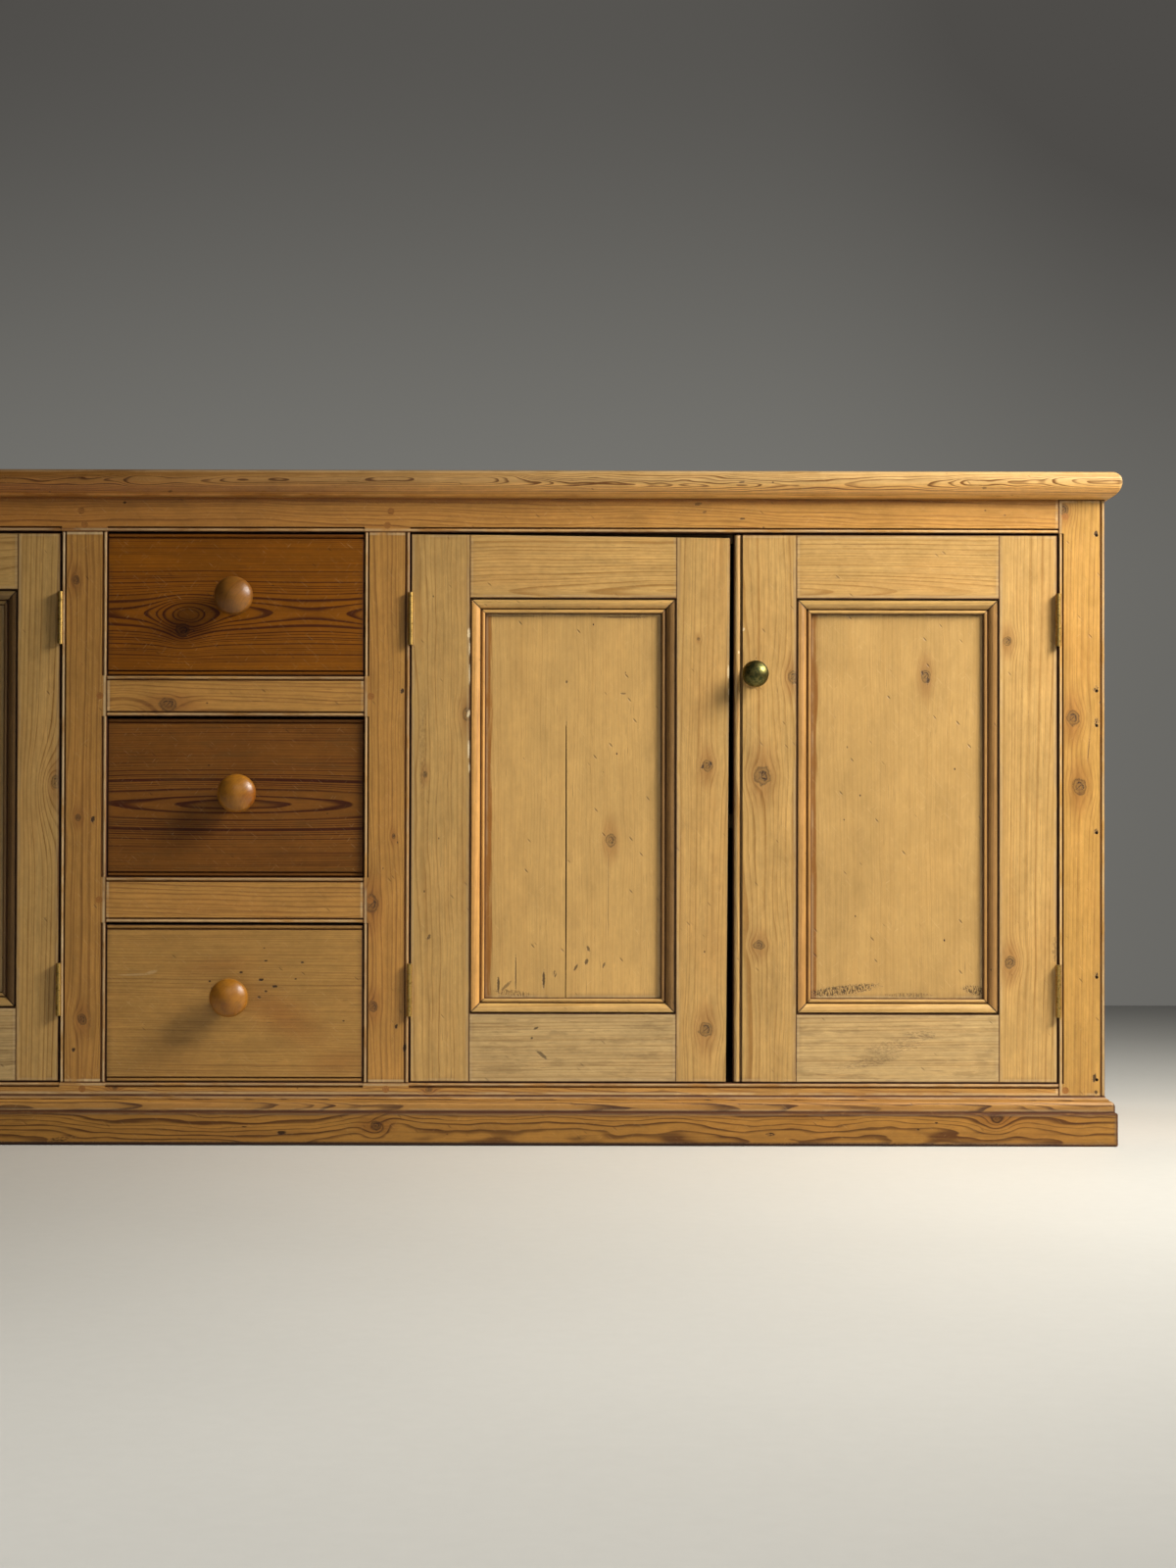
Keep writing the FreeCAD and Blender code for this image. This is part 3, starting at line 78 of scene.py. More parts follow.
class Graph:
    """A node tree written as nested calls: each call adds a node and gives back one of its outputs."""

    def __init__(self, tree):
        self.tree = tree

    def node(self, kind, inputs, out=0, **settings):
        made = self.tree.nodes.new(kind)
        for key, value in settings.items():
            setattr(made, key, value)
        for key, value in inputs.items():
            if isinstance(value, bpy.types.NodeSocket):
                self.tree.links.new(value, made.inputs[key])
            else:
                made.inputs[key].default_value = value
        return made.outputs[out] if made.outputs else made

    def math(self, operation, *values):
        return self.node("ShaderNodeMath", dict(enumerate(values)), operation=operation)

    def add(self, a, b):
        return self.math("ADD", a, b)

    def sub(self, a, b):
        return self.math("SUBTRACT", a, b)

    def mul(self, a, b):
        return self.math("MULTIPLY", a, b)

    def div(self, a, b):
        return self.math("DIVIDE", a, b)

    def low(self, a, b):
        return self.math("MINIMUM", a, b)

    def high(self, a, b):
        return self.math("MAXIMUM", a, b)

    def fma(self, a, b, c):
        return self.math("MULTIPLY_ADD", a, b, c)

    def length(self, a, b):
        return self.math("SQRT", self.fma(a, a, self.mul(b, b)))

    def rise(self, value, start, end, low=0.0, high=1.0):
        """A smooth step from low to high as value goes from start to end."""
        inputs = {"Value": value, "From Min": start, "From Max": end, "To Min": low, "To Max": high}
        return self.node("ShaderNodeMapRange", inputs, interpolation_type="SMOOTHSTEP")

    def point(self, x, y, z):
        return self.node("ShaderNodeCombineXYZ", {0: x, 1: y, 2: z})

    def noise(self, vector, scale, detail=2.0, roughness=0.5):
        return self.node("ShaderNodeTexNoise", {"Vector": vector, "Scale": scale, "Detail": detail,
                                                "Roughness": roughness})

    def stretched(self, vector, sizes):
        """The point divided by a size along each axis, so that one unit is one patch of noise."""
        return self.node("ShaderNodeVectorMath", {0: vector, 1: tuple(1.0 / s for s in sizes)},
                         operation="MULTIPLY")

    def mix(self, factor, a, b, blend="MIX"):
        return self.node("ShaderNodeMix", {0: factor, 6: a, 7: b}, out=2, data_type="RGBA", blend_type=blend,
                         clamp_factor=True)

    def scale(self, tint, amount):
        return self.node("ShaderNodeVectorMath", {0: tint, 3: amount}, operation="SCALE")


def new_group(name, floats, colours, outputs):
    """An empty node group with its sockets, ready for a Graph."""
    tree = bpy.data.node_groups.new(name, "ShaderNodeTree")
    for label in floats:
        tree.interface.new_socket(label, in_out="INPUT", socket_type="NodeSocketFloat")
    for label in colours:
        tree.interface.new_socket(label, in_out="INPUT", socket_type="NodeSocketColor")
    for label, kind in outputs.items():
        tree.interface.new_socket(label, in_out="OUTPUT", socket_type=kind)
    inside = tree.nodes.new("NodeGroupInput").outputs
    return tree, Graph(tree), {label: inside[label] for label in (*floats, *colours)}


def close_group(tree, results):
    end = tree.nodes.new("NodeGroupOutput")
    for label, socket in results.items():
        tree.links.new(socket, end.inputs[label])
    return tree


FLOAT, COLOUR = "NodeSocketFloat", "NodeSocketColor"


def make_knot_group():
    """One knot: how far it pushes the grain aside, how far it lifts the rings, its disc and its cracks."""
    names = ("L", "W", "D", "At L", "At W", "Radius", "Stretch", "Lift")
    tree, g, i = new_group("knot", names, (), {"Shift": FLOAT, "Lift": FLOAT, "Core": FLOAT, "Halo": FLOAT,
                                               "Rim": FLOAT})
    along = g.div(g.sub(i["L"], i["At L"]), i["Stretch"])
    across = g.sub(i["W"], i["At W"])
    square = g.fma(along, along, g.mul(across, across))
    radius2 = g.mul(i["Radius"], i["Radius"])
    push = g.div(g.mul(radius2, -1.25), g.fma(radius2, 0.4, square))
    here = g.point(i["L"], i["W"], i["D"])
    waver = g.noise(here, 0.13, 3.0)
    grit = g.noise(here, 0.9, 3.0)
    reach = g.mul(g.math("SQRT", square), g.fma(waver, 0.9, 0.55))
    share = g.div(reach, i["Radius"])
    core = g.rise(share, 0.8, 1.02, 1.0, 0.0)
    far = g.div(g.length(g.mul(along, 0.5), across), i["Radius"])
    halo = g.mul(g.rise(far, 0.6, 2.4, 1.0, 0.0), g.sub(1.0, g.mul(core, 0.7)))
    ring = g.fma(g.math("SINE", g.fma(waver, 5.0, g.mul(share, 15.0))), 0.5, 0.5)
    rim = g.mul(g.rise(share, 0.62, 0.9), core)
    arc = g.rise(g.math("ABSOLUTE", g.sub(share, 0.47)), 0.05, 0.13, 1.0, 0.0)
    side = g.div(g.fma(along, 0.55, g.mul(across, 0.83)), i["Radius"])
    arc = g.mul(arc, g.rise(side, -0.3, 0.1))
    check = g.math("ABSOLUTE", g.fma(along, 0.8, g.mul(across, -0.6)))
    check = g.mul(g.rise(check, 0.25, 0.8, 1.0, 0.0), g.rise(share, 0.3, 0.85, 1.0, 0.0))
    lines = g.mul(g.high(g.high(arc, g.mul(check, 0.8)), g.mul(rim, 0.75)), g.rise(grit, 0.32, 0.55))
    lift = g.mul(i["Lift"], g.math("EXPONENT", g.div(g.mul(square, -0.16), radius2)))
    return close_group(tree, {
        "Shift": g.mul(across, push), "Lift": lift, "Core": core, "Halo": halo,
        "Rim": g.high(lines, g.mul(g.mul(ring, core), 0.3)),
    })


def make_mark_group():
    """One mark, stain or chip: an oval with a ragged edge, turned by an angle. Large marks break up into
    scratches, and stains have soft edges."""
    names = ("L", "W", "At L", "At W", "Half length", "Half width", "Turn", "Ragged", "Broken", "Soft")
    tree, g, i = new_group("mark", names, (), {"Mask": FLOAT})
    along, across = g.sub(i["L"], i["At L"]), g.sub(i["W"], i["At W"])
    cosine, sine = g.math("COSINE", i["Turn"]), g.math("SINE", i["Turn"])
    u = g.fma(along, cosine, g.mul(across, sine))
    v = g.sub(g.mul(across, cosine), g.mul(along, sine))
    oval = g.length(g.div(u, i["Half length"]), g.div(v, i["Half width"]))
    waver = g.noise(g.point(i["L"], i["W"], 0.0), 0.6, 4.0, 0.65)
    ragged = g.fma(g.sub(waver, 0.5), i["Ragged"], oval)
    mask = g.rise(ragged, g.sub(0.7, i["Soft"]), g.add(1.1, i["Soft"]), 1.0, 0.0)
    hatch = g.rise(g.noise(g.point(g.mul(i["L"], 0.45), i["W"], 0.0), 0.5, 3.0), 0.42, 0.58)
    return close_group(tree, {"Mask": g.mul(mask, g.fma(g.sub(hatch, 1.0), i["Broken"], 1.0))})


def make_pine_group():
    """Old pine as a solid: growth rings round a pith line, fibres along it, patina, scratches and dirt, and the
    painted shade and highlight that its inputs carry.
    """
    floats = ("L", "W", "D", "Seed", "Shift", "Lift", "Pith W", "Pith D", "Tilt", "Bow", "Bow at", "Ring",
              "Wander", "Contrast", "Calm", "Fibre", "Blotch", "Smear", "Dents", "Core", "Halo", "Rim",
              "Marks", "Chips", "Dirt and shade", "Darker near edges", "Wear and highlight", "Gloss", "Stained")
    tree, g, i = new_group("pine", floats, ("Light", "Dark", "Stain"),
                           {"Color": COLOUR, "Roughness": FLOAT, "Height": FLOAT})
    here = g.point(g.fma(i["Seed"], 317.0, i["L"]), g.fma(i["Seed"], 131.0, i["W"]),
                   g.fma(i["Seed"], 71.0, i["D"]))

    # Growth rings
    sway = g.sub(g.noise(g.stretched(here, (420.0, 95.0, 95.0)), 1.0, 2.0), 0.5)
    ripple = g.sub(g.noise(g.stretched(here, (95.0, 24.0, 24.0)), 1.0, 2.0), 0.5)
    wave = g.mul(g.fma(ripple, 0.3, sway), i["Wander"])
    from_bow = g.sub(i["L"], i["Bow at"])
    depth = g.fma(i["Tilt"], from_bow, g.sub(i["D"], i["Pith D"]))
    depth = g.fma(g.mul(from_bow, from_bow), i["Bow"], depth)
    across = g.add(g.sub(g.add(i["W"], i["Shift"]), i["Pith W"]), wave)
    radius = g.add(g.length(across, g.add(depth, wave)), i["Lift"])
    years = g.div(radius, i["Ring"])
    uneven = g.node("ShaderNodeTexNoise", {"W": g.fma(i["Seed"], 9.0, g.mul(years, 0.21)), "Scale": 1.0},
                    noise_dimensions="1D")
    years = g.fma(uneven, 3.2, years)
    part = g.math("FRACT", years)
    late = g.mul(g.rise(part, 0.45, 0.88), g.rise(part, 0.93, 1.0, 1.0, 0.0))
    year_tone = g.node("ShaderNodeTexWhiteNoise", {"W": g.math("FLOOR", years)}, noise_dimensions="1D")
    late = g.mul(late, g.fma(year_tone, 0.5, 0.5))
    late = g.mul(late, g.rise(g.math("ABSOLUTE", across), 22.0, 70.0, 1.0, i["Calm"]))

    # Fibres, and the patina of years of use
    fibre = g.sub(g.noise(g.stretched(here, (60.0, 1.3, 1.3)), 1.0, 4.0, 0.66), 0.5)
    streak = g.sub(g.noise(g.stretched(here, (240.0, 4.5, 4.5)), 1.0, 3.0), 0.5)
    mottle = g.sub(g.noise(g.stretched(here, (13.0, 6.0, 6.0)), 1.0, 5.0, 0.7), 0.5)
    cloud = g.noise(g.stretched(here, (210.0, 80.0, 80.0)), 1.0, 4.0, 0.6)
    patch = g.noise(g.stretched(here, (55.0, 34.0, 34.0)), 1.0, 4.0, 0.62)
    deep = g.fma(late, i["Contrast"], g.mul(fibre, i["Fibre"]))
    deep = g.fma(streak, g.mul(i["Fibre"], 1.4), deep)
    tint = g.mix(deep, i["Light"], i["Dark"])
    bright = g.fma(mottle, g.mul(i["Fibre"], 0.5), g.fma(g.sub(patch, 0.5), 0.5, 1.0))
    bright = g.fma(fibre, i["Fibre"], bright)
    tint = g.scale(tint, g.fma(g.sub(cloud, 0.5), 0.4, bright))
    stained = g.high(g.mul(g.rise(cloud, 0.46, 0.72), i["Blotch"]), i["Stained"])
    tint = g.mix(stained, tint, g.mix(1.0, tint, i["Stain"], "MULTIPLY"))
    smear = g.noise(g.stretched(here, (44.0, 9.0, 9.0)), 1.0, 4.0, 0.65)
    smear = g.mul(g.rise(g.fma(fibre, 0.6, smear), 0.5, 0.66), i["Smear"])
    tint = g.mix(g.mul(smear, 0.6), tint, colour("5d431f"))

    # Scratches, dents and specks
    slash = g.noise(g.stretched(here, (26.0, 0.9, 0.9)), 1.0, 1.0)
    scratch = g.mul(g.rise(slash, 0.66, 0.75), g.rise(patch, 0.42, 0.6))
    turned = g.node("ShaderNodeVectorRotate", {"Vector": here, "Angle": 0.7}, rotation_type="Z_AXIS")
    counter = g.node("ShaderNodeVectorRotate", {"Vector": here, "Angle": -0.9}, rotation_type="Z_AXIS")
    rubbed = g.rise(g.noise(g.stretched(turned, (19.0, 0.7, 0.7)), 1.0, 1.0), 0.7, 0.78)
    rubbed = g.high(rubbed, g.rise(g.noise(g.stretched(counter, (14.0, 0.7, 0.7)), 1.0, 1.0), 0.71, 0.79))
    cells = g.stretched(here, (30.0, 21.0, 21.0))
    speck_far = g.node("ShaderNodeTexVoronoi", {"Vector": cells, "Scale": 1.0})
    speck_pick = g.node("ShaderNodeTexVoronoi", {"Vector": cells, "Scale": 1.0}, out=1)
    speck_pick = g.node("ShaderNodeSeparateColor", {0: speck_pick})
    speck = g.mul(g.rise(speck_far, 0.035, 0.06, 1.0, 0.0), g.rise(speck_pick, 0.62, 0.66))
    cells = g.stretched(turned, (26.0, 8.0, 8.0))
    dent_far = g.node("ShaderNodeTexVoronoi", {"Vector": cells, "Scale": 1.0})
    dent_pick = g.node("ShaderNodeTexVoronoi", {"Vector": cells, "Scale": 1.0}, out=1)
    dent_pick = g.node("ShaderNodeSeparateColor", {0: dent_pick})
    dent = g.mul(g.rise(dent_far, 0.05, 0.17, 1.0, 0.0), g.rise(dent_pick, 0.76, 0.79))
    dent = g.mul(dent, i["Dents"])
    brown = colour("3a1e0b")
    tint = g.mix(g.mul(g.high(scratch, dent), 0.45), tint, brown)
    tint = g.mix(g.mul(g.mul(rubbed, i["Dents"]), 0.35), tint, colour("dcb983"))
    tint = g.mix(g.mul(g.mul(speck, i["Dents"]), 0.85), tint, brown)

    # Knots, worn arrises partly painted as highlight, darkening near edges, dirt partly painted as shade in
    # quirks, and marks
    tint = g.mix(g.mul(i["Halo"], 0.55), tint, g.mix(1.0, tint, colour("c8ac90"), "MULTIPLY"))
    knot_tone = g.mix(g.fma(mottle, 2.0, g.fma(fibre, 0.8, 0.4)), i["Dark"], brown)
    tint = g.mix(g.mul(i["Core"], 0.62), tint, knot_tone)
    tint = g.mix(g.mul(i["Rim"], 0.92), tint, colour("24120a"))
    # pale worn arrises, partly a painted highlight where beads and edges catch the light
    tint = g.mix(g.mul(i["Wear and highlight"], g.rise(patch, 0.36, 0.58, 0.04, 0.3)), tint, colour("e6c896"))
    # patchy darkening towards the board's edges
    darker_near_edges = g.mul(i["Darker near edges"], g.rise(g.fma(mottle, 0.6, g.fma(streak, 0.5, patch)), 0.34, 0.64))
    tint = g.mix(g.mul(darker_near_edges, 0.75), tint, colour("4a2c14"))
    # dark dirt in the joints, and painted shade in quirks and sunk parts
    tint = g.mix(g.mul(i["Dirt and shade"], g.rise(g.add(mottle, patch), 0.2, 0.45, 0.6, 0.95)), tint, colour("45200a"))
    tint = g.mix(g.mul(i["Marks"], 0.9), tint, colour("241005"))
    tint = g.mix(i["Chips"], tint, colour("f0d9ac"))

    rough = g.fma(mottle, 0.3, g.fma(g.sub(patch, 0.5), 0.2, i["Gloss"]))
    rough = g.fma(g.high(i["Dirt and shade"], i["Marks"]), 0.4, g.fma(late, -0.05, rough))
    plane = g.noise(g.stretched(here, (120.0, 42.0, 42.0)), 1.0, 1.0)
    height = g.fma(late, 0.035, g.fma(mottle, 0.06, g.mul(plane, 0.45)))
    height = g.fma(fibre, g.mul(i["Fibre"], 0.13), height)
    height = g.fma(dent, -0.3, g.fma(speck, -0.25, g.fma(rubbed, -0.04, height)))
    height = g.fma(g.high(i["Marks"], g.mul(i["Rim"], 0.3)), -0.45, height)
    return close_group(tree, {"Color": tint, "Roughness": rough, "Height": height})


KNOT = make_knot_group()
MARK = make_mark_group()
PINE = make_pine_group()

# Colours of the pine by where it sits: pale growth, dark growth, and what a stain multiplies it by
TONES = {
    "frame": ("b9863e", "83541f", "cfa878"),
    "post": ("bc8e44", "855a23", "cfa878"),
    "door": ("c09857", "986d31", "d0aa80"),
    "scrubbed": ("bf9f69", "96713d", "b89c78"),
    "panel": ("c39b5a", "a4783c", "c29c54"),
    "mould": ("b98846", "805227", "b98454"),
    # a darker, greyer tone for moulding strips: painted shade with some dirt
    "grubby_shaded": ("9c733e", "6a4724", "a08468"),
    "dark": ("8b5206", "4c2204", "8d5a38"),
    "dusky": ("7d4e19", "431d08", "80583c"),
    "amber": ("ae823f", "845b26", "d2a25c"),
    "plinth": ("a2722f", "54300b", "b07c4c"),
    "top": ("cda669", "734b20", "b28413"),
    "knob": ("a46b1b", "81490d", "b5784a"),
    "worn": ("8f5c1d", "693c0f", "a07a68"),
    "skirt": ("ac7b38", "53300d", "b07c4c"),
    "peg": ("a26a2b", "5e3511", "90705a"),
    "raw": ("a98a5e", "806038", "a88a68"),
    "back": ("8d7452", "5f4a30", "96826a"),
}


def pine(name, axes, tone, seed, rect=None, front=None, pith=(0.0, -30.0), tilt=0.02, bow=0.0, bow_at=0.0,
         ring=3.6, wander=9.0, contrast=0.6, calm=1.0, fibre=0.9, blotch=0.2, smear=0.15, dents=0.8,
         knots=(), whorls=(), marks=(), stains=(), chips=(), gloss=0.46, edge=1.0, line=1.8, stain_edge=0.0,
         sunk_dirt_and_shade=None, shade=1.0, fade=None, wear_and_highlight=1.0, shine=0.5, painted_bounce_light=None):
    """A board's own pine. axes names the row axes along the grain, across the board and into it. rect is the
    board's seen face as (start, end) along and across, and front is where that face lies. A knot or whorl is
    (along, across, radius, stretch, lift). A mark, stain or chip is (along, across, half length, half width,
    turn, strength)."""
    material = bpy.data.materials.new(name)
    material.use_nodes = True
    tree = material.node_tree
    tree.nodes.clear()
    g = Graph(tree)
    where = g.node("ShaderNodeTexCoord", {}, out=3)
    where = g.node("ShaderNodeVectorMath", {0: where, 3: MM}, operation="SCALE")
    split = tree.nodes.new("ShaderNodeSeparateXYZ")
    tree.links.new(where, split.inputs[0])
    along, across, into = (split.outputs["xyz".index(axis)] for axis in axes)

    group = tree.nodes.new("ShaderNodeGroup")
    group.node_tree = PINE
    shift, lift, core, halo, rim = 0.0, 0.0, 0.0, 0.0, 0.0
    for number, (at_l, at_w, radius, stretch, raised) in enumerate((*knots, *whorls)):
        knot = tree.nodes.new("ShaderNodeGroup")
        knot.node_tree = KNOT
        for key, socket in (("L", along), ("W", across), ("D", into)):
            tree.links.new(socket, knot.inputs[key])
        for key, value in (("At L", at_l), ("At W", at_w), ("Radius", radius), ("Stretch", stretch),
                           ("Lift", raised)):
            knot.inputs[key].default_value = value
        out = knot.outputs
        lift = g.add(out["Lift"], lift)
        if number < len(knots):
            shift = g.add(out["Shift"], shift)
            core = g.high(out["Core"], core)
            halo = g.high(out["Halo"], halo)
            rim = g.high(out["Rim"], rim)
    masks = {"mark": 0.0, "stain": 0.0, "chip": 0.0}
    kinds = (("mark", marks), ("stain", stains), ("chip", chips))
    spots = [(kind, spot) for kind, these in kinds for spot in these]
    for kind, (at_l, at_w, half_l, half_w, turn, strength) in spots:
        mark = tree.nodes.new("ShaderNodeGroup")
        mark.node_tree = MARK
        tree.links.new(along, mark.inputs["L"])
        tree.links.new(across, mark.inputs["W"])
        broken = 0.9 if kind == "mark" and min(half_l, half_w) > 2.5 else 0.0
        soft = 0.8 if kind == "stain" else 0.0
        for key, value in (("At L", at_l), ("At W", at_w), ("Half length", half_l), ("Half width", half_w),
                           ("Turn", turn), ("Ragged", 1.7), ("Broken", broken), ("Soft", soft)):
            mark.inputs[key].default_value = value
        masks[kind] = g.high(g.mul(mark.outputs[0], strength), masks[kind])
    stain_mask = masks["stain"]

    dirt, darker_near_edges, wear = 0.0, 0.0, 0.0
    if rect is not None:
        l_low, l_high, w_low, w_high = rect
        ends = g.low(g.sub(along, l_low), g.sub(l_high, along))
        sides = g.low(g.sub(across, w_low), g.sub(w_high, across))
        near = g.low(ends, sides)
        dirt = g.mul(g.rise(near, 0.1, line, 1.0, 0.0), edge)
        # darker towards the board's edges, fading out 9 mm in
        darker_near_edges = g.mul(g.rise(near, 0.0, 9.0, 1.0, 0.0), 0.5 * edge)
        # worn pale edges with a painted highlight on the bead, scaled by wear_and_highlight
        wear = g.mul(g.mul(g.rise(near, 0.7, 1.6), g.rise(near, 2.8, 4.6, 1.0, 0.0)), wear_and_highlight)
        if stain_edge:
            ragged = g.noise(g.stretched(where, (4.0, 4.0, 70.0)), 1.0, 3.0)
            reach = g.fma(g.sub(ragged, 0.5), 12.0, g.sub(across, w_low))
            stain_mask = g.high(stain_mask, g.rise(reach, stain_edge * 0.6, stain_edge, 0.95, 0.0))
    if fade is not None:
        stain_mask = g.high(stain_mask, g.rise(along, fade[0], fade[1], fade[2], 0.0))
    # dirt and painted shade in the quirk a little behind the front face
    if front is not None:
        depth = g.sub(into, front)
        quirk_dirt_and_shade = g.mul(g.rise(depth, 1.3, 2.6), g.rise(depth, 3.5, 6.0, 1.0, 0.0))
        dirt = g.high(dirt, g.mul(quirk_dirt_and_shade, 0.9))
    # dirt and painted shade on the parts sunk deeper than the given depths
    if sunk_dirt_and_shade is not None:
        start, end = sunk_dirt_and_shade
        dirt = g.high(dirt, g.mul(g.rise(into, start, end), 0.92))

    light, dark_growth, stain = (linear(text) for text in TONES[tone])
    settings = {
        "L": along, "W": across, "D": into, "Seed": float(seed), "Shift": shift, "Lift": lift,
        "Pith W": pith[0], "Pith D": pith[1], "Tilt": tilt, "Bow": bow, "Bow at": bow_at, "Ring": ring,
        "Wander": wander, "Contrast": contrast, "Calm": calm, "Fibre": fibre, "Blotch": blotch,
        "Smear": smear, "Dents": dents, "Core": core, "Halo": halo, "Rim": rim, "Marks": masks["mark"],
        "Chips": masks["chip"], "Dirt and shade": dirt, "Darker near edges": darker_near_edges, "Wear and highlight": wear, "Gloss": gloss,
        "Stained": stain_mask,
        # shade scales the board's colours; on the moulding strips it carries painted light and shade
        "Light": (*(c * shade for c in light), 1.0), "Dark": (*(c * shade for c in dark_growth), 1.0),
        "Stain": (*stain, 1.0),
    }
    for key, value in settings.items():
        if isinstance(value, bpy.types.NodeSocket):
            tree.links.new(value, group.inputs[key])
        else:
            group.inputs[key].default_value = value
    height = group.outputs["Height"]
    bump = g.node("ShaderNodeBump", {"Strength": 0.8, "Distance": 1.0 / MM, "Height": height})
    tint = group.outputs["Color"]
    # painted bounce light: below start the colour is multiplied by a warm tint brighter than 1, fading out by
    # end, so the lower part looks lit from the floor
    if painted_bounce_light is not None:
        start, end, amber = painted_bounce_light
        tint = g.mix(g.rise(across, start, end, 1.0, 0.0), tint, g.mix(1.0, tint, (*amber, 1.0), "MULTIPLY"))
    shader = g.node("ShaderNodeBsdfPrincipled", {"Base Color": tint, "Roughness": group.outputs["Roughness"],
                                                 "Normal": bump, "Specular IOR Level": shine})
    g.node("ShaderNodeOutputMaterial", {"Surface": shader})
    return material


def metal(name, clean, tarnish, dark, cover, rough):
    """Old metal: clean where it is handled, tarnished in patches, with fine scratches."""
    material = bpy.data.materials.new(name)
    material.use_nodes = True
    tree = material.node_tree
    tree.nodes.clear()
    g = Graph(tree)
    where = g.node("ShaderNodeTexCoord", {}, out=3)
    where = g.node("ShaderNodeVectorMath", {0: where, 3: MM}, operation="SCALE")
    patch = g.noise(g.stretched(where, (6.0, 6.0, 6.0)), 1.0, 4.0, 0.6)
    grain = g.noise(g.stretched(where, (0.7, 0.7, 5.0)), 1.0, 3.0)
    spots = g.noise(g.stretched(where, (1.6, 1.6, 1.6)), 1.0, 3.0)
    tint = g.mix(g.rise(patch, 0.62 - cover, 0.82 - cover), colour(clean), colour(tarnish))
    tint = g.mix(g.rise(spots, 0.58, 0.74), tint, colour(dark))
    tint = g.scale(tint, g.fma(g.sub(grain, 0.5), 0.4, 1.0))
    roughness = g.fma(g.sub(patch, 0.5), 0.4, g.fma(grain, 0.12, rough))
    height = g.fma(spots, -0.06, g.mul(grain, 0.03))
    bump = g.node("ShaderNodeBump", {"Strength": 0.7, "Distance": 1.0 / MM, "Height": height})
    shader = g.node("ShaderNodeBsdfPrincipled", {"Base Color": tint, "Metallic": 1.0, "Roughness": roughness,
                                                 "Normal": bump})
    g.node("ShaderNodeOutputMaterial", {"Surface": shader})
    return material


def dress(node, material):
    data = nodes[node].data
    data.materials.clear()
    for one in material if isinstance(material, (list, tuple)) else [material]:
        data.materials.append(one)


def sort_faces(node, choose):
    """Gives each face of a node made of several boards the material of its own board."""
    for face in nodes[node].data.polygons:
        face.material_index = choose(face.center * MM)


def soften(node, width):
    """Worn arrises: the split faces are joined again, flat faces made whole and their edges rounded."""
    piece = nodes[node]
    weld = piece.modifiers.new("join", "WELD")
    weld.merge_threshold = 1e-6
    flat = piece.modifiers.new("flat", "DECIMATE")
    flat.decimate_type = "DISSOLVE"
    flat.angle_limit = math.radians(0.6)
    round_off = piece.modifiers.new("wear", "BEVEL")
    round_off.width = width / MM
    round_off.segments = 2
    round_off.limit_method = "ANGLE"
    round_off.angle_limit = math.radians(38)
    round_off.use_clamp_overlap = True
    normals = piece.modifiers.new("normals", "WEIGHTED_NORMAL")
    normals.keep_sharp = False


# Face frame. Where wear_and_highlight is above 1, the pale worn edges are strengthened into a painted highlight
# on the beads, most on the left muntin's bead, which faces the light
dress("top_rail", pine("top_rail_pine", "xzy", "frame", 1, (-STILE, STILE, OPEN_TOP, CASE_TOP + 10), FACE,
                       pith=(690.0, FACE - 46), wander=14, contrast=0.85, ring=4.4, wear_and_highlight=2.0, line=1.2,
                       # the long soft stain along the top edge is a painted shadow under the worktop's nose
                       shade=1.1, fade=(-300.0, 700.0, 0.5), stains=((0, 783, 1200, 7, 0.0, 0.9),),
                       marks=((560, 776, 5, 2.2, 0.2, 0.6), (568, 766, 3, 1.5, 0.4, 0.5),
                              (614, 758, 4, 1.2, 0.1, 0.8), (-135, 776, 2.2, 1.6, 0.3, 0.9))))
dress("bottom_rail", pine("bottom_rail_pine", "xzy", "frame", 2, (-STILE, STILE, BASE_TOP, OPEN_LOW), FACE,
                          pith=(46.0, FACE - 24), wander=16, contrast=1.0, ring=2.2, smear=0.4, shade=1.04,
                          wear_and_highlight=2.0, line=1.2,
                          knots=((-144, 67, 3, 1.2, 3), (236, 66, 3.5, 1.2, 3))))
dress("right_muntin", pine("right_muntin_pine", "zxy", "frame", 3, (OPEN_LOW, OPEN_TOP, BAY, MUNTIN), FACE,
                           pith=(122.0, FACE - 40), tilt=0.02, wander=12, contrast=0.68, ring=4.0,
                           wear_and_highlight=2.0, line=1.2,
                           knots=((290, 166, 8, 1.5, 4), (166, 168, 6, 1.3, 3), (372, 192, 2.5, 1.4, 2)),
                           marks=((548, 202, 3.4, 2.4, 0.3, 1.0), (142, 196, 3, 1.8, 0.2, 1.0),
                                  (116, 206, 5, 2.4, 0.1, 0.9))))
dress("left_muntin", pine("left_muntin_pine", "zxy", "frame", 4, (OPEN_LOW, OPEN_TOP, -MUNTIN, -BAY), FACE,
                          pith=(-250.0, FACE - 40), tilt=-0.02, wander=12, contrast=0.75, shade=0.93,
                          ring=4.0, wear_and_highlight=3.0, line=1.2,
                          knots=((150, -184, 6, 1.3, 3), (682, -194, 5, 1.3, 3), (394, -190, 4, 1.2, 2)),
                          marks=((392, -172, 4, 2.4, 0.2, 1.0), (113, -194, 3, 2, 0.1, 1.0))))
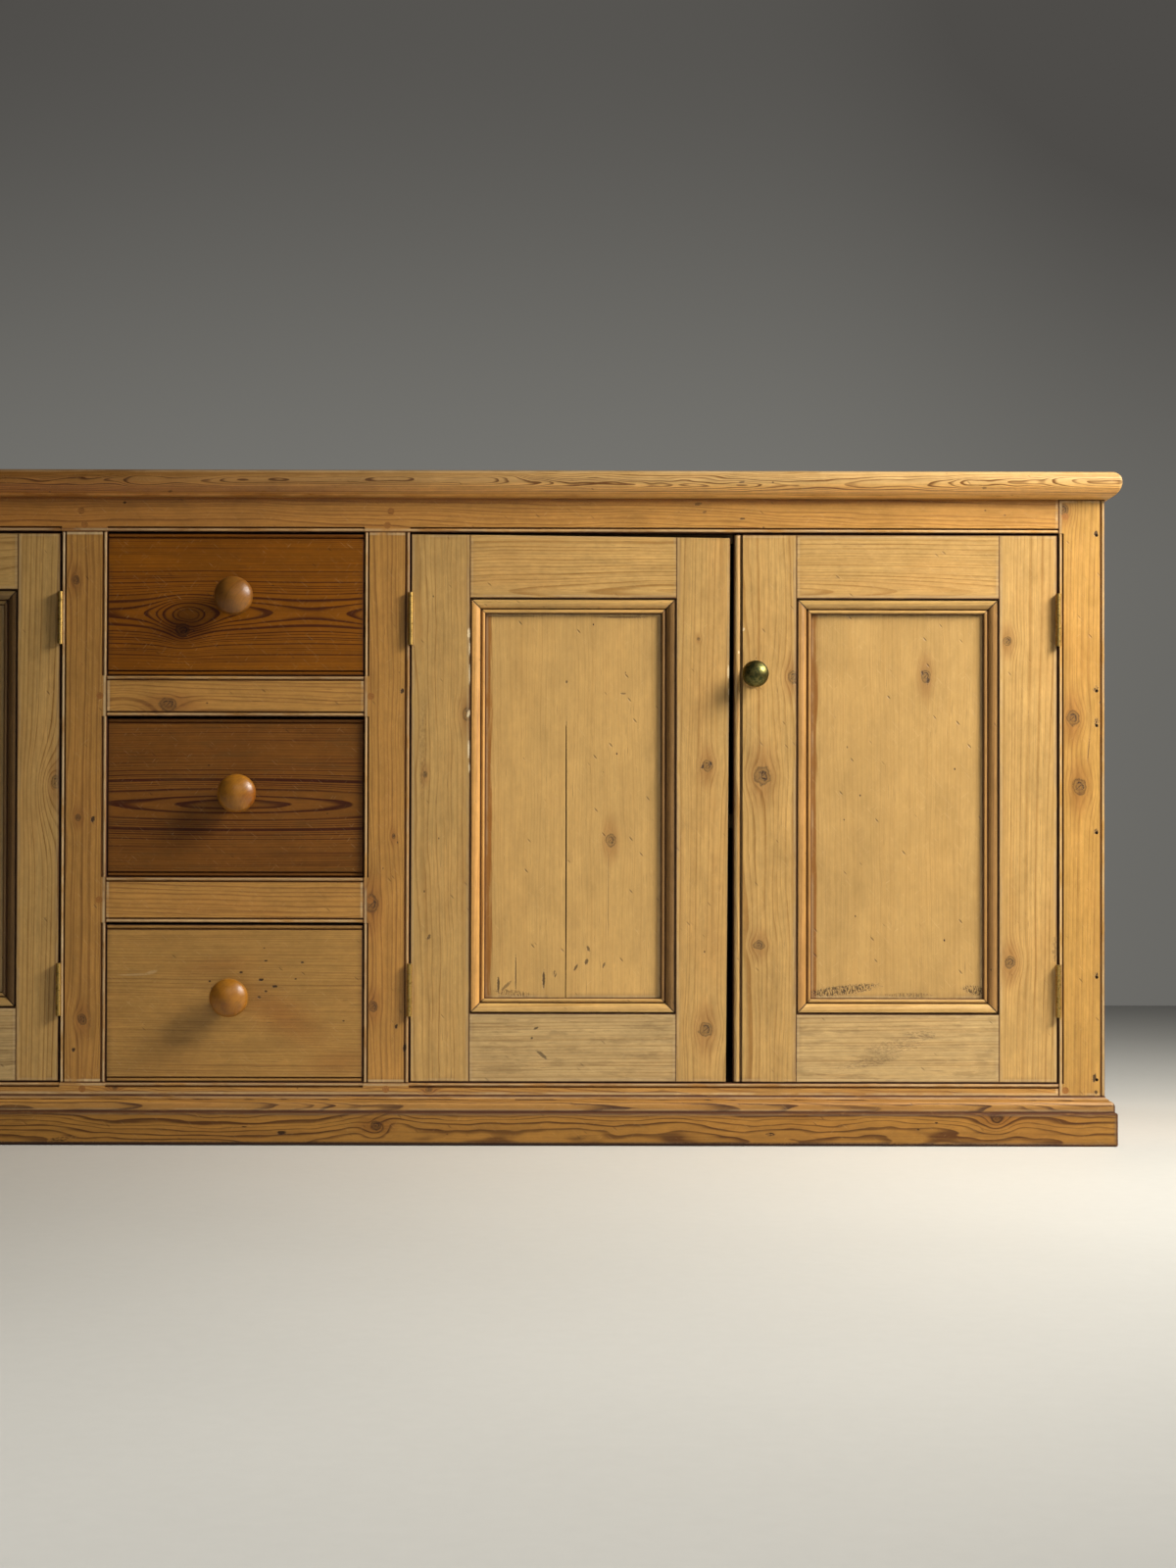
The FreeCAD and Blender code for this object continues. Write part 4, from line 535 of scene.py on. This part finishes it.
dress("right_end_stile", pine("right_end_stile_pine", "zxy", "post", 5, (BASE_TOP, CASE_TOP, STILE, HALF), FACE,
                              pith=(1110.0, FACE - 60), wander=14, contrast=0.48, ring=4.2, wear_and_highlight=2.0,
                              knots=((517, 1015, 8.5, 1.2, 4), (434, 1023, 9, 1.2, 4), (770, 1004, 6, 1.2, 3)),
                              marks=((478, 1034, 16, 0.8, 0.1, 0.5), (741, 1043, 3.5, 2.4, 0.1, 0.95),
                                     (552, 1043, 4.0, 2.8, 0.3, 0.95), (512, 1044, 6, 3.2, -0.2, 1.0),
                                     (380, 1043, 3.6, 2.6, 0.2, 0.95),
                                     (206, 1043, 3.2, 2.6, 0.0, 0.95), (81, 1041, 5.5, 2.3, 0.1, 0.95),
                                     (64, 1043, 2.6, 2.2, 0.0, 0.9))))
dress("left_end_stile", pine("left_end_stile_pine", "zxy", "post", 6, (BASE_TOP, CASE_TOP, -HALF, -STILE), FACE,
                             pith=(-930.0, FACE - 60), wander=14, contrast=0.48, ring=4.2, wear_and_highlight=2.0,
                             knots=((610, -1030, 8, 1.2, 4), (250, -1016, 7, 1.3, 3))))
dress("upper_drawer_rail", pine("upper_drawer_rail_pine", "xzy", "frame", 7, (-BAY, BAY, 517, 566), FACE,
                                pith=(500.0, FACE - 50), wander=10, contrast=0.8, ring=3.8, wear_and_highlight=2.0,
                                line=1.2,
                                knots=((-82, 531, 9, 1.3, 6),), whorls=((-130, 522, 10, 1.6, -9),)))
dress("lower_drawer_rail", pine("lower_drawer_rail_pine", "xzy", "frame", 8, (-BAY, BAY, 267, 322), FACE,
                                pith=(220.0, FACE - 70), wander=10, contrast=0.75, ring=3.8, wear_and_highlight=2.0,
                                line=1.2))

# Worktop, plinth and base moulding
NOSE = FACE - 19
top_fade = (-350.0, 760.0, 0.8)
top_knots = ((-700, -70, 11, 1.4, 5), (310, 60, 9, 1.4, 4), (860, -130, 10, 1.3, 4))
dress("worktop_front_board", [
    pine("worktop_front_pine", "xyz", "top", 9, (-TOP_HALF, TOP_HALF, NOSE, TOP_JOINT), None,
         pith=(NOSE - 26, 800.0), tilt=0.004, wander=12, contrast=0.75, ring=2.8, edge=0.0, knots=top_knots,
         gloss=0.36, fade=top_fade),
    pine("worktop_nose_pine", "xzy", "top", 9, (-TOP_HALF, TOP_HALF, CASE_TOP, TOP_LEVEL), None,
         pith=(799.0, NOSE - 13), tilt=0.0, wander=22, contrast=1.4, ring=1.15, line=2.4, edge=0.2, gloss=0.36,
         # the lower half of the nose gets painted bounce light, lighter and warmer
         fade=top_fade, painted_bounce_light=(790.0, 802.0, (1.42, 1.2, 0.78)),
         marks=((-78, 788, 3, 1.2, 0.1, 0.6), (612, 800, 4, 1.4, 0.2, 0.6), (905, 794, 3, 1.6, 0.0, 0.6)))])
sort_faces("worktop_front_board", lambda p: 0 if p.z > TOP_LEVEL - 0.5 else 1)
dress("worktop_back_board", pine("worktop_back_pine", "xyz", "top", 10,
                                 (-TOP_HALF, TOP_HALF, TOP_JOINT, CASE_BACK), None, pith=(FACE + 330, 745.0),
                                 tilt=0.004, wander=12, contrast=0.75, ring=2.8, edge=0.5, gloss=0.36,
                                 fade=top_fade))
dress("plinth_front", pine("plinth_pine", "xzy", "plinth", 11, (-PLINTH_HALF, PLINTH_HALF, 0, PLINTH_TOP), None,
                           # line=6.0 widens the dark edge line: a dark joint at the top, painted shadow at the
                           # floor
                           pith=(5.0, FACE - 37), tilt=0.008, wander=26, contrast=1.1, ring=3.6, line=6.0,
                           edge=0.95, shine=0.3, smear=0.3,
                           knots=((173, 24, 6, 1.2, 9), (921, 35, 7, 1.2, 9), (-500, 18, 7, 1.3, 8)),
                           whorls=((185, 28, 9, 1.4, -9),),
                           # the long dark mark along the bottom edge is a painted shadow where the plinth meets
                           # the floor
                           marks=((0, 1.4, 1100, 2.4, 0.0, 1.0), (59, 15, 6, 2.4, 0.1, 1.0),
                                  (648, 14, 6, 2.6, 0.0, 1.0), (14, 22, 3, 1, 0.0, 0.8),
                                  (-208, 6, 14, 3, 0.1, 0.8), (848, 28, 2, 1.2, 0, 0.9),
                                  (826, 20, 2, 1, 0, 0.8))))
returns = [pine(f"plinth_return_{side}_pine", "yzx", "plinth", 12 + k,
                (FACE - 13, CASE_BACK, 0, PLINTH_TOP), None, pith=(20.0, x), wander=18, contrast=1.2,
                ring=2.2, line=6.0, edge=0.95)
           for k, (side, x) in enumerate((("right", 1100), ("left", -1100)))]
dress("plinth_returns", returns)
sort_faces("plinth_returns", lambda p: 0 if p.x > 0 else 1)
moulds = [pine("base_mould_front_pine", "xzy", "skirt", 14, (-1064, 1064, PLINTH_TOP, BASE_TOP), None,
               pith=(45.0, FACE - 34), wander=18, contrast=1.3, ring=2.3, line=3.6),
          pine("base_mould_right_pine", "yzx", "skirt", 15, None, None, pith=(52.0, 1090), wander=14,
               contrast=0.8, ring=2.6),
          pine("base_mould_left_pine", "yzx", "skirt", 16, None, None, pith=(52.0, -1090), wander=14,
               contrast=0.8, ring=2.6)]
dress("base_moulding", moulds)
sort_faces("base_moulding", lambda p: 0 if p.y - FACE < HALF - abs(p.x) else (1 if p.x > 0 else 2))

# Carcase
for side, x, seed in (("right", 1044, 17), ("left", -1044, 18)):
    dress(f"{side}_end_board", pine(f"{side}_end_board_pine", "zyx", "frame", seed,
                                    (BASE_TOP, CASE_TOP, FACE + 24, FACE + 458), None,
                                    pith=(FACE + 200, x * 0.93), tilt=0.04, wander=20, contrast=0.6,
                                    ring=5.5, dents=0.8,
                                    knots=((560, -60, 10, 1.3, 5), (210, 120, 9, 1.3, 4))))
    dress(f"{side}_partition", pine(f"{side}_partition_pine", "zyx", "raw", seed + 2, None, None,
                                    pith=(60.0, x * 0.1), wander=18, contrast=0.5, ring=5.0, gloss=0.6))
    dress(f"{side}_shelf", pine(f"{side}_shelf_pine", "xyz", "raw", seed + 4, None, None, pith=(40.0, 350.0),
                                wander=18, contrast=0.5, ring=5.5, gloss=0.6))
dress("cupboard_floor", pine("cupboard_floor_pine", "xyz", "raw", 23, None, None, pith=(40.0, 20.0),
                             wander=20, contrast=0.5, ring=5.5, gloss=0.6))
dress("back_rail", pine("back_rail_pine", "xzy", "raw", 24, None, None, pith=(700.0, 200.0), gloss=0.6))
bare = pine("bare_pine", "yzx", "raw", 25, None, None, pith=(0.0, 60.0), gloss=0.6)
for node in ("shelf_bearers", "drawer_runners", "drawer_guides", "drawer_stops"):
    dress(node, bare)
dress("door_stops", pine("door_stop_pine", "xzy", "raw", 26, None, None, pith=(700.0, -150.0), gloss=0.6))
PITCH = 2 * HALF / BACK_BOARDS
PITH_SHARES = (0.2, 0.7, 0.45)
backs = [pine(f"back_board_{k}_pine", "zxy", "back", 30 + k,
              (12, CASE_TOP, -HALF + PITCH * k, -HALF + PITCH * (k + 1)), None,
              pith=(-HALF + PITCH * (k + PITH_SHARES[k % 3]), 290.0), tilt=0.03, wander=22, contrast=0.7,
              ring=6.0, gloss=0.7,
              knots=((200 + 37 * (k * 5 % BACK_BOARDS), -HALF + PITCH * (k + 0.5), 9, 1.3, 5),))
         for k in range(BACK_BOARDS)]
dress("back_boards", backs)
sort_faces("back_boards", lambda p: max(0, min(BACK_BOARDS - 1, int((p.x + HALF) / PITCH))))

# Drawers
dress("upper_drawer_front", pine("upper_drawer_front_pine", "xzy", "dark", 43,
                                 (-DRAWER_HALF, DRAWER_HALF, 566.8, 738.2), FACE + 0.8,
                                 pith=(642.0, FACE - 24), tilt=0.0, ring=3.1, wander=5, calm=0.4, contrast=1.5,
                                 knots=((-64, 621, 8.5, 1.15, -3),),
                                 whorls=((-59, 637, 8.5, 1.35, -11), (-30, 641, 13, 2.6, -6),
                                         (205, 640, 12, 2.4, -7)), edge=0.9, wear_and_highlight=0.0, shine=0.2))
dress("middle_drawer_front", pine("middle_drawer_front_pine", "xzy", "dusky", 44,
                                  (-DRAWER_HALF, DRAWER_HALF, 322.8, 514.2), FACE + 5,
                                  pith=(410.0, FACE - 15.5), tilt=0.0, bow=0.000133, ring=2.6, wander=5,
                                  contrast=1.5, calm=0.4, smear=0.5, edge=0.9, wear_and_highlight=0.0, shine=0.2))
dress("lower_drawer_front", pine("lower_drawer_front_pine", "xzy", "amber", 45,
                                 (-DRAWER_HALF, DRAWER_HALF, 74.8, 264.2), FACE + 0.8,
                                 pith=(-60.0, FACE - 60), ring=3.4, wander=8, contrast=0.55, blotch=0.15,
                                 edge=0.9, wear_and_highlight=0.0,
                                 stains=((58, 155, 46, 20, -0.5, 0.5), (126, 98, 34, 14, 0.1, 0.35),
                                         (-24, 214, 44, 10, 0.1, 0.3)),
                                 chips=((-120, 204, 22, 1.2, 0.03, 0.16), (-100, 207, 7, 2.0, 0.2, 0.16)),
                                 marks=((32, 198, 3.4, 1.8, 0.0, 1.0), (49, 190, 3.4, 1.6, 0.1, 1.0),
                                        (38, 184, 1.8, 1.4, 0.0, 0.9), (30, 177, 2, 1.6, 0.0, 0.8),
                                        (-30, 196, 1.6, 1.3, 0.0, 0.9), (-27, 188, 1.6, 1.3, 0.0, 0.7),
                                        (38, 221, 2.2, 1.2, 0.0, 0.9), (82, 219, 2.4, 1.2, 0.0, 0.9),
                                        (74, 199, 1.6, 1.0, 0.0, 0.8), (8, 207, 2.4, 1.4, 0.0, 1.0))))
for k, name in enumerate(("upper", "middle", "lower")):
    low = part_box(f"{name}_drawer_box")[0].z * MM
    bottom = low + DRAWER_FLOOR
    boards = [pine(f"{name}_drawer_side_pine", "yzx", "raw", 46 + k, None, None, pith=(low + 40, 0.0),
                   gloss=0.6),
              pine(f"{name}_drawer_bottom_pine", "xyz", "raw", 50 + k, None, None,
                   pith=(0.0, low - 60), wander=16, gloss=0.62)]
    dress(f"{name}_drawer_box", boards)
    sort_faces(f"{name}_drawer_box", lambda p: 1 if abs(p.x) < DRAWER_INSIDE and p.z < bottom else 0)
    tone = "worn" if name == "upper" else "knob"
    middle = (sum(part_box(f"{name}_drawer_knob"), Vector()) / 2) * MM
    dress(f"{name}_drawer_knob", pine(f"{name}_drawer_knob_pine", "yxz", tone, 60 + k, None, None,
                                      pith=(middle.x + 34, middle.z - 26), ring=2.8, wander=5, contrast=0.4,
                                      fibre=0.5, blotch=0.9, smear=0.5, dents=0.3, gloss=0.38, shine=0.5))

# Doors: where each door and its panel opening start and end across, and the opening from low to top
DOORS = {
    "right_inner": (213.0, 284.0, 534.5, 599.5, 157.5, 661.5),
    "right_outer": (604.0, 680.0, 926.0, 996.0, 157.5, 661.5),
    "left_inner": (-599.5, -545.5, -264.0, -213.0, 163.5, 670.5),
    "left_outer": (-996.0, -944.0, -666.0, -604.0, 163.5, 670.5),
}
DOOR_LOW, DOOR_TOP = 75.5, 738.5
PANEL_SHADE = {"right_inner": 1.04, "right_outer": 0.9, "left_inner": 0.95, "left_outer": 0.98}
KNOTS = {
    "right_inner": {"far": ((458, 572, 6.5, 1.2, 3), (139, 570.6, 9, 1.1, 2), (612, 561, 2, 1.1, 1)),
                    "near": ((520, 281, 6, 1.5, 3), (447, 230, 3, 1.5, 1)),
                    "panel": ((368, 455, 6.5, 1.3, 2),)},
    "right_outer": {"near": ((566, 676, 7, 1.2, 3), (446, 638.5, 11, 1.1, 4), (241, 635, 7.5, 0.8, 3)),
                    "far": ((610, 936, 5.5, 1.2, 3), (221, 939, 7, 1.2, 6)),
                    "panel": ((568, 838, 6, 1.5, 2),)},
    "left_inner": {"panel": ((300, -400, 7, 1.3, 2),), "far": ((437, -217, 6, 1.6, -2),)},
    "left_outer": {"panel": ((520, -820, 8, 1.3, 3),), "near": ((260, -968, 7, 1.3, 3),)},
}
# The strip tones and the factors below are painted light and shade on the moulding strips: far strips take a
# darker tone, the left doors' strips are darkened, and each strip is lightened or darkened
TRIM_TONE = {"near": "mould", "far": "grubby_shaded", "top": "door", "low": "door"}
TRIM_PAINTED_LIGHT_AND_SHADE = {
    "right_inner": {"near": 1.28, "far": 0.8, "top": 1.27, "low": 1.05},
    "right_outer": {"near": 0.82, "far": 1.2, "top": 1.12, "low": 1.0},
    "left_inner": {"far": 0.52, "top": 0.45, "low": 0.8},
    "left_outer": {"far": 0.52, "top": 0.45, "low": 0.8},
}
# the corners at each end of a strip: left or right (0, 1), low or top (0, 1)
MITRES = {"near": ((0, 0), (0, 1)), "far": ((1, 0), (1, 1)), "top": ((0, 1), (1, 1)), "low": ((0, 0), (1, 0))}
TRIM_WIDTH = 18.0
WHORLS = {"left_inner": ((425, -226, 9, 2.4, -12),)}
MARKS = {
    "right_inner": {"low": ((365, 140, 3.4, 1.4, 0.4, 0.8), (360, 128, 1.6, 1.4, 0.0, 0.8),
                            (372, 108, 9, 2.2, -0.7, 0.7)),
                    "far": ((457, 566, 3, 1.8, 0.5, 0.85), (461, 576, 2.6, 1.5, -0.3, 0.85)),
                    "near": ((480, 227, 60, 5, 0.0, 0.22), (250, 235, 4, 2, 0.5, 0.7)),
                    "panel": ((192, 319, 10, 1.6, 0.0, 0.9), (206, 340, 24, 0.9, 0.0, 0.8),
                              (190, 328, 9, 2, 0.8, 0.6), (198, 374, 11, 1.7, 0.0, 0.9),
                              (205, 387, 4, 3, 0.0, 0.8), (213, 413, 5, 1.6, 0.5, 0.8),
                              (220, 426, 4, 2.2, 0.3, 0.8), (236, 428, 4, 1.8, -0.4, 0.7),
                              (216, 447, 4, 1.5, 0.4, 0.7),
                              (182, 335, 4, 22, 0.1, 0.6), (349, 401, 168, 0.9, 0.0, 0.85),
                              (640, 330, 1.4, 40, 0.0, 0.35), (639, 470, 1.3, 30, 0.0, 0.6),
                              (560, 401, 2, 1.4, 0.0, 0.8), (546, 470, 1.2, 4, 0.0, 0.6),
                              (300, 452, 55, 0.7, 0.0, 0.4))},
    "right_outer": {"near": ((449, 638.5, 3.4, 0.9, 0.4, 1.0), (443, 640, 1.0, 3.2, 0.2, 1.0)),
                    "far": ((236, 993, 16, 3.5, 0.0, 0.45),),
                    "low": ((800, 118, 34, 9, 0.1, 0.3), (770, 100, 40, 6, 0.2, 0.3),
                            (830, 132, 20, 6, 0, 0.35)),
                    "panel": ((562, 841, 4, 2, 0.3, 0.8), (572, 834, 3, 1.3, -0.4, 0.75),
                              (186, 738, 6, 44, -0.12, 0.9), (185, 902, 6, 20, 0.2, 0.85),
                              (180, 820, 3, 30, 0.0, 0.5))},
    "left_inner": {}, "left_outer": {},
}
CHIPS = {
    "right_inner": {"near": ((618, 282.4, 7, 1.7, 0.0, 0.9), (600, 283.4, 9, 0.9, 0.0, 0.8),
                             (568, 283.4, 13, 0.9, 0.0, 0.7), (521, 282.6, 5, 2.0, 0.3, 0.8),
                             (478, 282.6, 12, 1.2, 0.0, 0.9), (455, 283.2, 6, 1.0, 0.0, 0.7)),
                    "far": ((572, 597.4, 9, 1.3, 0.0, 0.7), (548, 598.0, 5, 1.0, 0.0, 0.6))},
    "right_outer": {"near": ((624, 616, 2.2, 1.4, 0.2, 0.7), (596, 610, 2.4, 1.2, 0.1, 0.6))},
}
for index, (door, (x0, x1, x2, x3, z0, z1)) in enumerate(DOORS.items()):
    knots, marks, chips = KNOTS[door], MARKS[door], CHIPS.get(door, {})
    seed = 70 + 10 * index
    depth = DOOR_FACE - 45
    frame_boards = [
        pine(f"{door}_near_stile_pine", "zxy", "door", seed, (DOOR_LOW, DOOR_TOP, x0, x1), DOOR_FACE,
             pith=(x0 - 30, depth), tilt=0.02, wander=16, contrast=0.72, ring=4.6, line=1.2,
             knots=knots.get("near", ()), marks=marks.get("near", ()), chips=chips.get("near", ())),
        pine(f"{door}_far_stile_pine", "zxy", "door", seed + 1, (DOOR_LOW, DOOR_TOP, x2, x3), DOOR_FACE,
             pith=(x3 + 30, depth), wander=13, contrast=1.0 if door in WHORLS else 0.7, ring=4.2, line=1.2,
             knots=knots.get("far", ()), whorls=WHORLS.get(door, ()), marks=marks.get("far", ()),
             chips=chips.get("far", ())),
        pine(f"{door}_top_rail_pine", "xzy", "door", seed + 2, (x1, x2, z1, DOOR_TOP), DOOR_FACE,
             pith=(z1 + 8, depth + 16), tilt=-0.05, wander=10, contrast=0.75, ring=4.2, line=1.2,
             shade=1.1 if door == "right_inner" else 1.0, marks=marks.get("top", ())),
        pine(f"{door}_bottom_rail_pine", "xzy", "scrubbed", seed + 3, (x1, x2, DOOR_LOW, z0), DOOR_FACE,
             pith=(z0 + 60, depth), wander=12, contrast=0.65, ring=3.8, smear=0.55, line=1.2,
             marks=marks.get("low", ())),
    ]
    dress(f"{door}_door_frame", frame_boards)

    def board(p, x1=x1, x2=x2, z0=z0, z1=z1):
        if x1 < p.x < x2:
            return 2 if p.z > (z0 + z1) / 2 else 3
        return 0 if p.x <= x1 else 1

    sort_faces(f"{door}_door_frame", board)
    seen = (z0 + TRIM_WIDTH, z1 - TRIM_WIDTH, x1 + TRIM_WIDTH, x2 - TRIM_WIDTH)
    grain = dict(pith=(x1 - 90, PANEL_FACE - 60), tilt=0.01, wander=14, contrast=0.3, ring=4.6, fibre=0.5,
                 smear=0.12, dents=1.2, knots=knots.get("panel", ()))
    dress(f"{door}_door_panel", [
        pine(f"{door}_panel_pine", "zxy", "panel", seed + 4, seen, None, blotch=0.08, stain_edge=9.5,
             shade=PANEL_SHADE[door], marks=marks.get("panel", ()), **grain),
        pine(f"{door}_panel_back_pine", "zxy", "scrubbed", seed + 4, (z0, z1, x1, x2), None, blotch=0.2,
             edge=0.6, gloss=0.6, **grain)])
    panel_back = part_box(f"{door}_door_panel")[1].y * MM
    sort_faces(f"{door}_door_panel", lambda p: 1 if p.y > panel_back - 0.5 else 0)
    # the moulding's deeper parts take dirt and painted shade
    quirk = (PANEL_FACE - 4.6, PANEL_FACE - 3.3)
    strips = []
    for k, (way, at) in enumerate((("near", x1 + 60), ("far", x2 + 50), ("top", z1 + 40), ("low", z0 + 70))):
        upright = way in ("near", "far")
        dark_joints = []
        for right, top in MITRES[way]:
            x = x2 - TRIM_WIDTH / 2 if right else x1 + TRIM_WIDTH / 2
            z = z1 - TRIM_WIDTH / 2 if top else z0 + TRIM_WIDTH / 2
            turn = math.radians(45 if right == top else -45)
            dark_joints.append((z if upright else x, x if upright else z, 14.0, 0.9, turn, 0.85))
        strips.append(pine(f"{door}_mould_{way}_pine", "zxy" if upright else "xzy", TRIM_TONE[way],
                           seed + 5 + k, None, None, pith=(at, PANEL_FACE - 40), contrast=0.5, ring=3.0,
                           sunk_dirt_and_shade=quirk, shade=TRIM_PAINTED_LIGHT_AND_SHADE[door].get(way, 1.0), marks=dark_joints))
    dress(f"{door}_door_moulding", strips)

    def strip(p, x1=x1, x2=x2, z0=z0, z1=z1):
        gaps = (p.x - x1, x2 - p.x, z1 - p.z, p.z - z0)
        return gaps.index(min(gaps))

    sort_faces(f"{door}_door_moulding", strip)

# Pegs, nails and brass
dress("frame_pegs", pine("peg_pine", "yxz", "peg", 120, None, None, pith=(0.0, 0.0), ring=2.0, contrast=0.5))
dress("frame_nails", metal("nail_iron", "2a211b", "3b2213", "120c09", 0.1, 0.62))
hinge_brass = metal("hinge_brass", "bd9a55", "785f30", "221b0e", 0.1, 0.36)
knob_brass = metal("knob_brass", "6d6438", "45472a", "1f1f14", 0.2, 0.34)
for node in ("hinge_frame_leaves", "hinge_pins", "hinge_frame_screws"):
    dress(node, hinge_brass)
for door in DOORS:
    dress(f"{door}_door_brasses", hinge_brass)
for side in ("right", "left"):
    dress(f"{side}_turn_catch", knob_brass)

# Small pieces, and nodes whose boards touch, keep the solids' own mesh
HARD = ("hinge", "brasses", "catch", "nails", "pegs", "knob", "moulding", "drawer_box", "door_frame")
for node in nodes:
    if not any(word in node for word in HARD):
        soften(node, ARRIS)

# Floor
bpy.ops.mesh.primitive_grid_add(x_subdivisions=2, y_subdivisions=2, size=1.0)
floor = bpy.context.object
floor.name = "floor"
FLOOR_BACK, FLOOR_FRONT = FACE / MM + 2.4, -9.0
floor.scale = (16.0, FLOOR_BACK - FLOOR_FRONT, 1.0)
floor.location = (0.4, (FLOOR_BACK + FLOOR_FRONT) / 2, -0.0005)
floor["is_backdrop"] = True


def floor_paint():
    material = bpy.data.materials.new("floor_paint")
    material.use_nodes = True
    tree = material.node_tree
    tree.nodes.clear()
    g = Graph(tree)
    where = g.node("ShaderNodeNewGeometry", {})
    broad = g.noise(where, 1.7, 4.0)
    fine = g.noise(where, 60.0, 4.0)
    tint = g.mix(g.fma(fine, 0.3, g.mul(broad, 0.6)), colour("bdbcb6"), colour("cecdc7"))
    bump = g.node("ShaderNodeBump", {"Strength": 0.12, "Distance": 0.002, "Height": fine})
    shader = g.node("ShaderNodeBsdfPrincipled", {"Base Color": tint, "Roughness": 0.62, "Normal": bump})
    g.node("ShaderNodeOutputMaterial", {"Surface": shader})
    return material


floor.data.materials.append(floor_paint())

# Light: a grey room, a key lamp at the right front, a soft fill, a weak lamp behind and one over the floor
world = bpy.data.worlds.new("room")
world.use_nodes = True
room = Graph(world.node_tree)
to_camera = room.node("ShaderNodeLightPath", {})
facing = room.node("ShaderNodeSeparateXYZ", {0: room.node("ShaderNodeTexCoord", {}, out=0)})
upward = room.node("ShaderNodeSeparateXYZ", {0: room.node("ShaderNodeTexCoord", {}, out=0)}, out=2)
# the wall the camera sees has painted shade, darker towards the sides, more to the right, and upward
painted_wall_shade = room.fma(room.mul(facing, facing), 3.0, room.rise(upward, 0.08, 0.3, 0.0, 0.85))
painted_wall_shade = room.add(painted_wall_shade, room.rise(facing, 0.06, 0.22, 0.0, 0.25))
wall = room.mix(painted_wall_shade, colour("787772"), colour("4e4c49"))
grey = room.mix(to_camera, colour("2b2c2e"), wall)
world.node_tree.links.new(grey, world.node_tree.nodes["Background"].inputs["Color"])
bpy.context.scene.world = world


def lamp(name, place, aim, size, power, tint, spread=180.0):
    data = bpy.data.lights.new(name, "AREA")
    data.spread = math.radians(spread)
    data.shape = "DISK"
    data.size = size
    data.energy = power
    data.color = tint
    made = bpy.data.objects.new(name, data)
    bpy.context.scene.collection.objects.link(made)
    made.location = place
    made.visible_camera = False
    made.rotation_euler = (Vector(aim) - Vector(place)).to_track_quat("-Z", "Y").to_euler()


lamp("key", (2.0, -0.95, 1.6), (0.85, -0.3, 0.39), 0.9, 39.5, (1.0, 0.965, 0.9), 125.0)
lamp("fill", (0.3, -4.6, 1.5), (0.4, 0.0, 0.4), 2.6, 5.0, (0.96, 0.98, 1.0))
lamp("behind", (-2.4, 2.2, 1.9), (-0.4, 0.1, 0.35), 1.6, 15.0, (1.0, 0.98, 0.95), 100.0)
lamp("over_floor", (0.35, -2.05, 1.2), (0.35, -2.05, 0.0), 1.6, 10.5, (1.0, 0.98, 0.94), 150.0)

# Camera, where the photograph was taken from
camera_data = bpy.data.cameras.new("camera")
camera_data.sensor_width = 36.0
camera_data.lens = 60.5
camera = bpy.data.objects.new("camera", camera_data)
bpy.context.scene.collection.objects.link(camera)
camera.location = (0.418, FACE / MM - 3.192, 0.394)
camera.rotation_euler = (math.radians(90.75), math.radians(-0.12), math.radians(-0.17))
bpy.context.scene.camera = camera
bpy.context.scene.view_settings.view_transform = "Standard"

low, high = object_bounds()
